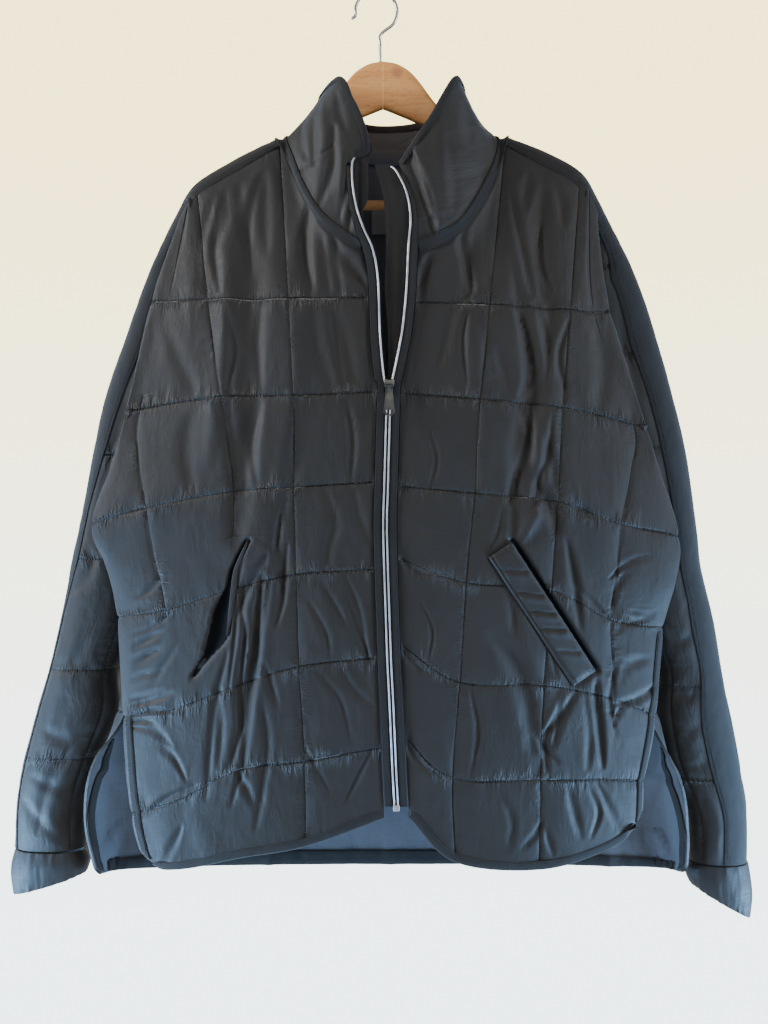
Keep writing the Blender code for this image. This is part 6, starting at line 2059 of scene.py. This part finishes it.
# The cut of each sheet, or of its left and right: how it is held, what it lies on or hangs from, then
# width and length in metres and the area where it isn't a rectangle.
CUTS = (
    ("front_panel_{}", "hung", ("hanger_arm_{}",), (0.33, 0.74, 0.185), (0.33, 0.74, 0.182)),
    ("back_panel", "hung", ("hanger_arm_left", "hanger_arm_right"), (0.68, 0.76, 0.41)),
    ("sleeve_tube_{}", "hung", (), (0.24, 0.68, 0.105), (0.24, 0.69, 0.111)),
    ("cuff_tube_{}", "gathered", (), (0.17, 0.05, 0.0077), (0.17, 0.05, 0.0077)),
    ("arm_band_{}", "hung", (), (0.045, 0.79, 0.031), (0.045, 0.8, 0.0325)),
    ("collar_stand", "hung", (), (0.52, 0.1, 0.033)),
    ("collar_edge_tape", "folded", ("collar_stand",), (0.02, 0.52, 0.008)),
    ("neckline_tape", "laid", ("collar_stand",), (0.015, 0.58, 0.0077)),
    ("neck_seam_tape", "laid", ("back_panel",), (0.016, 0.14, 0.002)),
    ("pocket_flap_{}", "laid", ("front_panel_{}",), (0.01, 0.1, 0.0007), (0.036, 0.145, 0.005)),
    ("pocket_bag_{}", "hung", ("front_panel_{}",), (0.02, 0.145, 0.0016), (0.01, 0.14, 0.0012)),
    ("hem_tape_{}", "folded", ("front_panel_{}",), (0.018, 0.27, 0.0046), (0.018, 0.28, 0.0049)),
    ("vent_edge_tape_{}", "laid", ("front_panel_{}",), (0.01, 0.155, 0.0013), (0.01, 0.2, 0.0016)),
    ("vent_facing_{}", "laid", ("back_panel",), (0.011, 0.14, 0.0015), (0.011, 0.13, 0.0013)),
    ("hem_casing", "gathered", ("back_panel",), (0.014, 0.61, 0.0082)),
    ("zip_guard_{}", "laid", ("front_panel_{}",), (0.01, 0.64, 0.005), (0.01, 0.64, 0.005)),
    ("zip_webbing_{}", "laid", ("zip_guard_{}",), (0.011, 0.64, 0.0062), (0.011, 0.64, 0.0061)),
    ("zip_lining_{}", "hung", ("zip_webbing_{}",), (0.016, 0.118, 0.0015), (0.018, 0.64, 0.0107)),
    ("size_label", "laid", ("back_panel",), (0.032, 0.03, None)),
)


# Add-on ---------------------------------------------------------------------------------------


def setting(name, about, default, **more):
    """A number to set in the panel, from zero up unless it has its own limits."""
    return bpy.props.FloatProperty(name=name, description=about, default=default, **{"min": 0.0, **more})


def tint(name, about, default):
    """A colour to set in the panel."""
    limits = {"subtype": "COLOR", "min": 0.0, "max": 1.0}
    return bpy.props.FloatVectorProperty(name=name, description=about, default=default, **limits)


class ClothSizes(bpy.types.PropertyGroup):
    """How full the padding is and how much the cloth pulls in at its stitching."""

    puff: setting("Puff", "Height of a padded cell above its stitching", 0.0019, unit="LENGTH")
    gather: setting("Gather", "Height of the small puckers along the stitching", 0.0007, unit="LENGTH")


class FinishColours(bpy.types.PropertyGroup):
    """Colours and gloss of the cloths."""

    nylon_colour: tint("Nylon", "Colour of the padded cloth", (0.021, 0.0206, 0.0208))
    # The lining is a lighter, bluer cloth, and its colour is raised further as painted light for the inside of the
    # back and the collar.
    lining_colour: tint("Lining", "Colour of the lining", (0.085, 0.093, 0.112))
    twill_colour: tint("Twill", "Colour of the tapes and bands", (0.0165, 0.0165, 0.0175))
    nylon_roughness: setting(
        "Nylon roughness", "How matte the padded cloth is", 0.6, min=0.1, max=0.9, subtype="FACTOR"
    )


class StitchSizes(bpy.types.PropertyGroup):
    """Sizes of the sewing."""

    length: setting("Stitch", "Length of one stitch", 0.0026, min=0.0005, unit="LENGTH")
    pitch: setting("Pitch", "Distance from one stitch to the next", 0.0035, min=0.001, unit="LENGTH")
    thickness: setting("Thread", "Thickness of the thread", 0.00055, min=0.0001, unit="LENGTH")


class StudioSettings(bpy.types.PropertyGroup):
    """The room's light and floor."""

    key: setting("Key light", "Power of the main light", 38.0, unit="POWER")
    fill: setting("Fill light", "Power of the light from the other side", 11.0, unit="POWER")
    air: setting("Room light", "Strength of the even light all round", 0.34)
    wall: setting("Wall", "Brightness of the wall that is seen", 4.2)
    floor_drop: setting("Floor", "Height of the floor below the hook", 1.85, min=1.0, unit="LENGTH")


class BuildFronts(bpy.types.Operator):
    """Both quilted fronts"""

    bl_idname = "jacket.fronts"
    bl_label = "Fronts"

    def execute(self, context):
        for side in SIDES:
            cloth, name = front_cloth(side), f"front_panel_{side.name}"
            shell(name, cloth, QUILTED, "padded nylon", f"front_{side.name}", skip=3)
            sew_seams(cloth, FRONT_SEAMS[side.name])
        return {"FINISHED"}


class BuildBack(bpy.types.Operator):
    """The quilted back with its casing and vent tapes"""

    bl_idname = "jacket.back"
    bl_label = "Back"

    def execute(self, context):
        shell("back_panel", back_cloth(), QUILTED, "padded nylon", "back", skip=2, lining="lining")
        sew_seams(back_cloth(), BACK_SEAMS)
        back_trims()
        return {"FINISHED"}


class BuildSleeves(bpy.types.Operator):
    """Both sleeves with their cuffs"""

    bl_idname = "jacket.sleeves"
    bl_label = "Sleeves and cuffs"

    def execute(self, context):
        for side in SIDES:
            cloth, name = sleeve_cloth(side), side.name
            shell(f"sleeve_tube_{name}", cloth, QUILTED, "padded nylon", f"sleeve_{name}", skip=3)
            sew_seams(cloth, sleeve_seams(side))
            shell(f"cuff_tube_{name}", cuff_cloth(side), QUILTED, "padded nylon", f"cuff_{name}", skip=3)
        return {"FINISHED"}


class BuildBands(bpy.types.Operator):
    """The twill bands over the shoulders and down the sleeves"""

    bl_idname = "jacket.bands"
    bl_label = "Overarm bands"

    def execute(self, context):
        for side in SIDES:
            cloth, name = band_cloth(side), side.name
            shell(f"arm_band_{name}", cloth, FACE, "black twill", f"overarm_band_{name}", skip=2)
            for column in (-0.82, 0.82):
                points, out = cloth.along(cloth.rows[4:-4], np.full(len(cloth.rows) - 8, column))
                sew(smoothed(points, 40), unit(smoothed(out, 40)), 0.15)
        return {"FINISHED"}


class BuildTapes(bpy.types.Operator):
    """The tapes that bind the hems of the fronts and the edges of their vents"""

    bl_idname = "jacket.tapes"
    bl_label = "Hem and vent tapes"

    def execute(self, context):
        for side in SIDES:
            hem_binding(side)
            side_tape(side)
        return {"FINISHED"}


class BuildCollar(bpy.types.Operator):
    """The standing collar with its tapes, and the label inside the neck"""

    bl_idname = "jacket.collar"
    bl_label = "Collar"

    def execute(self, context):
        collar()
        inner_neck_tape()
        label()
        return {"FINISHED"}


class BuildPockets(bpy.types.Operator):
    """Both slanted pockets"""

    bl_idname = "jacket.pockets"
    bl_label = "Pockets"

    def execute(self, context):
        left_pocket(front_cloth(SIDES[0]))
        right_pocket(front_cloth(SIDES[1]))
        return {"FINISHED"}


class BuildZip(bpy.types.Operator):
    """The zip with its strips, slider and pull tab"""

    bl_idname = "jacket.zip"
    bl_label = "Zip"

    def execute(self, context):
        rows = []
        for side in SIDES:
            rows.append(zip_half(side))
            facing(side)
        runs("zip_teeth", rows, TOOTH_PITCH, tooth_rings(), 0.0, "zip tape", "zip_chain")
        slider()
        pull_tab()
        retainer()
        return {"FINISHED"}


class BuildStitching(bpy.types.Operator):
    """Every line of stitches on the pieces made so far"""

    bl_idname = "jacket.stitching"
    bl_label = "Stitching"

    def execute(self, context):
        if not SEWN:
            raise RuntimeError("make the cloth pieces before their stitching")
        sizes = context.scene.jacket_stitches
        rings = stitch_rings(sizes.length / MM, sizes.thickness / MM)
        runs("stitching", SEWN, sizes.pitch / MM, rings, STITCH_SCATTER, "sewing thread", seed=7)
        return {"FINISHED"}


class BuildHanger(bpy.types.Operator):
    """The wooden hanger and its hook"""

    bl_idname = "jacket.hanger"
    bl_label = "Hanger"

    def execute(self, context):
        hanger()
        return {"FINISHED"}


def declare_cloth():
    """Looks up every piece in the cuts table and the pieces it rests on; nothing more is done with them."""
    for name, held, rests, *cuts in CUTS:
        for side, (*flat, area) in zip(("left", "right"), cuts):
            sheet, rests_on = bpy.data.objects[name.format(side)], tuple(rest.format(side) for rest in rests)
            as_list(rests_on)


def place_floor(drop):
    """A small floor, far below the view."""
    mesh = bpy.data.meshes.new("floor")
    shape = bmesh.new()
    bmesh.ops.create_circle(shape, cap_ends=True, segments=96, radius=1.5)
    bmesh.ops.translate(shape, verts=shape.verts, vec=(0, 0, -drop))
    shape.to_mesh(mesh)
    shape.free()
    floor = bpy.data.objects.new("floor", mesh)
    bpy.context.scene.collection.objects.link(floor)
    made, nodes = material("pale floor")
    pale, worn = (0.72, 0.7, 0.67, 1.0), (0.76, 0.745, 0.72, 1.0)
    tone = nodes.group(wear_group, Vector=own_place(nodes), Colour=pale, Faded=worn, Broad=1.5, Lint=0.0)
    mesh.materials.append(surface(made, Base_Color=tone[0], Roughness=0.9))


def light_room(strength, wall):
    """An even light all round, and a pale wall that only the camera sees."""
    world = bpy.data.worlds.new("room")
    bpy.context.scene.world = world
    world.use_nodes = True
    nodes, kept = Nodes(world.node_tree), world.node_tree.nodes
    air = kept["Background"]
    nodes.give(air.inputs["Color"], (0.93, 0.92, 0.9, 1.0))
    nodes.give(air.inputs["Strength"], strength)
    way = nodes.add("SeparateXYZ", Vector=nodes.add("TexCoord").outputs["Generated"])
    high = nodes.spread(way.outputs["Z"], -0.4, 0.36)
    tone = nodes.blend(high, (0.87, 1.0, 1.04, 1.0), (1.0, 0.86, 0.4, 1.0))
    far = nodes.add("Background", Color=tone, Strength=wall)
    both = nodes.add("MixShader", i0=nodes.add("LightPath"), i1=air, i2=far)
    nodes.give(kept["World Output"].inputs["Surface"], both)


def place_light(name, place, aim, size, power, colour):
    """A rectangular light turned to a point."""
    lamp = bpy.data.lights.new(name, "AREA")
    lamp.shape = "RECTANGLE"
    lamp.size, lamp.size_y = size
    lamp.energy, lamp.color = power, colour
    held = bpy.data.objects.new(name, lamp)
    held.location = place
    x, y, z = np.array(aim) - np.array(place)
    held.rotation_euler = math.atan2(math.hypot(x, y), -z), 0.0, math.atan2(-x, y) if x or y else 0.0
    bpy.context.scene.collection.objects.link(held)


class BuildStudio(bpy.types.Operator):
    """The floor, the lights and the camera"""

    bl_idname = "jacket.studio"
    bl_label = "Studio"

    def execute(self, context):
        room = context.scene.jacket_studio
        place_floor(room.floor_drop)
        light_room(room.air, room.wall)
        white, blue = (1.0, 0.98, 0.95), (0.34, 0.62, 1.0)
        for light in (
            ("key light", (-1.75, -0.5, 0.3), (0, 0, -0.45), (0.5, 0.8), room.key, (1.0, 0.985, 0.965)),
            ("fill light", (1.9, -0.9, 0.1), (0, 0, -0.5), (0.6, 1.2), room.fill * 1.8, (1.0, 0.985, 0.975)),
            ("front light", (0.1, -2.0, 0.3), (0, 0, -0.4), (1.4, 1.0), room.fill * 0.4, white),
            ("low light", (0, -0.45, -1.5), (0, 0, -0.95), (1.0, 0.2), room.fill * 0.08, (0.45, 0.7, 1.0)),
            ("low light left", (-0.78, -0.15, -1.1), (-0.36, 0.02, -0.84), (0.3, 0.3), room.fill * 1.6, blue),
            ("low light right", (0.82, -0.15, -1.1), (0.38, 0.02, -0.84), (0.3, 0.3), room.fill * 1.6, blue),
            ("back light", (0.4, 1.9, 0.3), (0, 0, -0.5), (1.6, 1.6), room.fill * 3, white),
        ):
            place_light(*light)
        lens = bpy.data.cameras.new("camera")
        lens.sensor_fit, lens.sensor_width = "HORIZONTAL", 36.0
        lens.lens, lens.clip_start = 51.5625, 0.05
        camera = bpy.data.objects.new("camera", lens)
        camera.location = (0.008, -1.130, -0.5355)
        camera.rotation_euler = (math.radians(90), 0.0, 0.0)
        context.scene.collection.objects.link(camera)
        context.scene.camera = camera
        return {"FINISHED"}


STEPS = (
    BuildFronts, BuildBack, BuildSleeves, BuildBands, BuildTapes, BuildCollar, BuildPockets, BuildZip,
    BuildStitching, BuildHanger, BuildStudio,
)
SETTINGS = (
    ("jacket_cloth", ClothSizes),
    ("jacket_finish", FinishColours),
    ("jacket_stitches", StitchSizes),
    ("jacket_studio", StudioSettings),
)


class JacketPanel(bpy.types.Panel):
    """Lists the steps and their settings"""

    bl_idname = "VIEW3D_PT_jacket"
    bl_label = "Quilted jacket"
    bl_space_type = "VIEW_3D"
    bl_region_type = "UI"
    bl_category = "Jacket"

    def draw(self, context):
        for name, group in SETTINGS:
            box = self.layout.box()
            held = getattr(context.scene, name)
            for value in group.__annotations__:
                box.prop(held, value)
        for step in STEPS:
            self.layout.operator(step.bl_idname)


def register():
    for name, group in SETTINGS:
        bpy.utils.register_class(group)
        setattr(bpy.types.Scene, name, bpy.props.PointerProperty(type=group))
    for made in (*STEPS, JacketPanel):
        bpy.utils.register_class(made)


def unregister():
    for made in (JacketPanel, *reversed(STEPS)):
        bpy.utils.unregister_class(made)
    for name, group in reversed(SETTINGS):
        delattr(bpy.types.Scene, name)
        bpy.utils.unregister_class(group)


def main():
    register()
    for step in STEPS:
        group, name = step.bl_idname.split(".")
        getattr(getattr(bpy.ops, group), name)()
    declare_cloth()


if __name__ == "__main__":
    main()
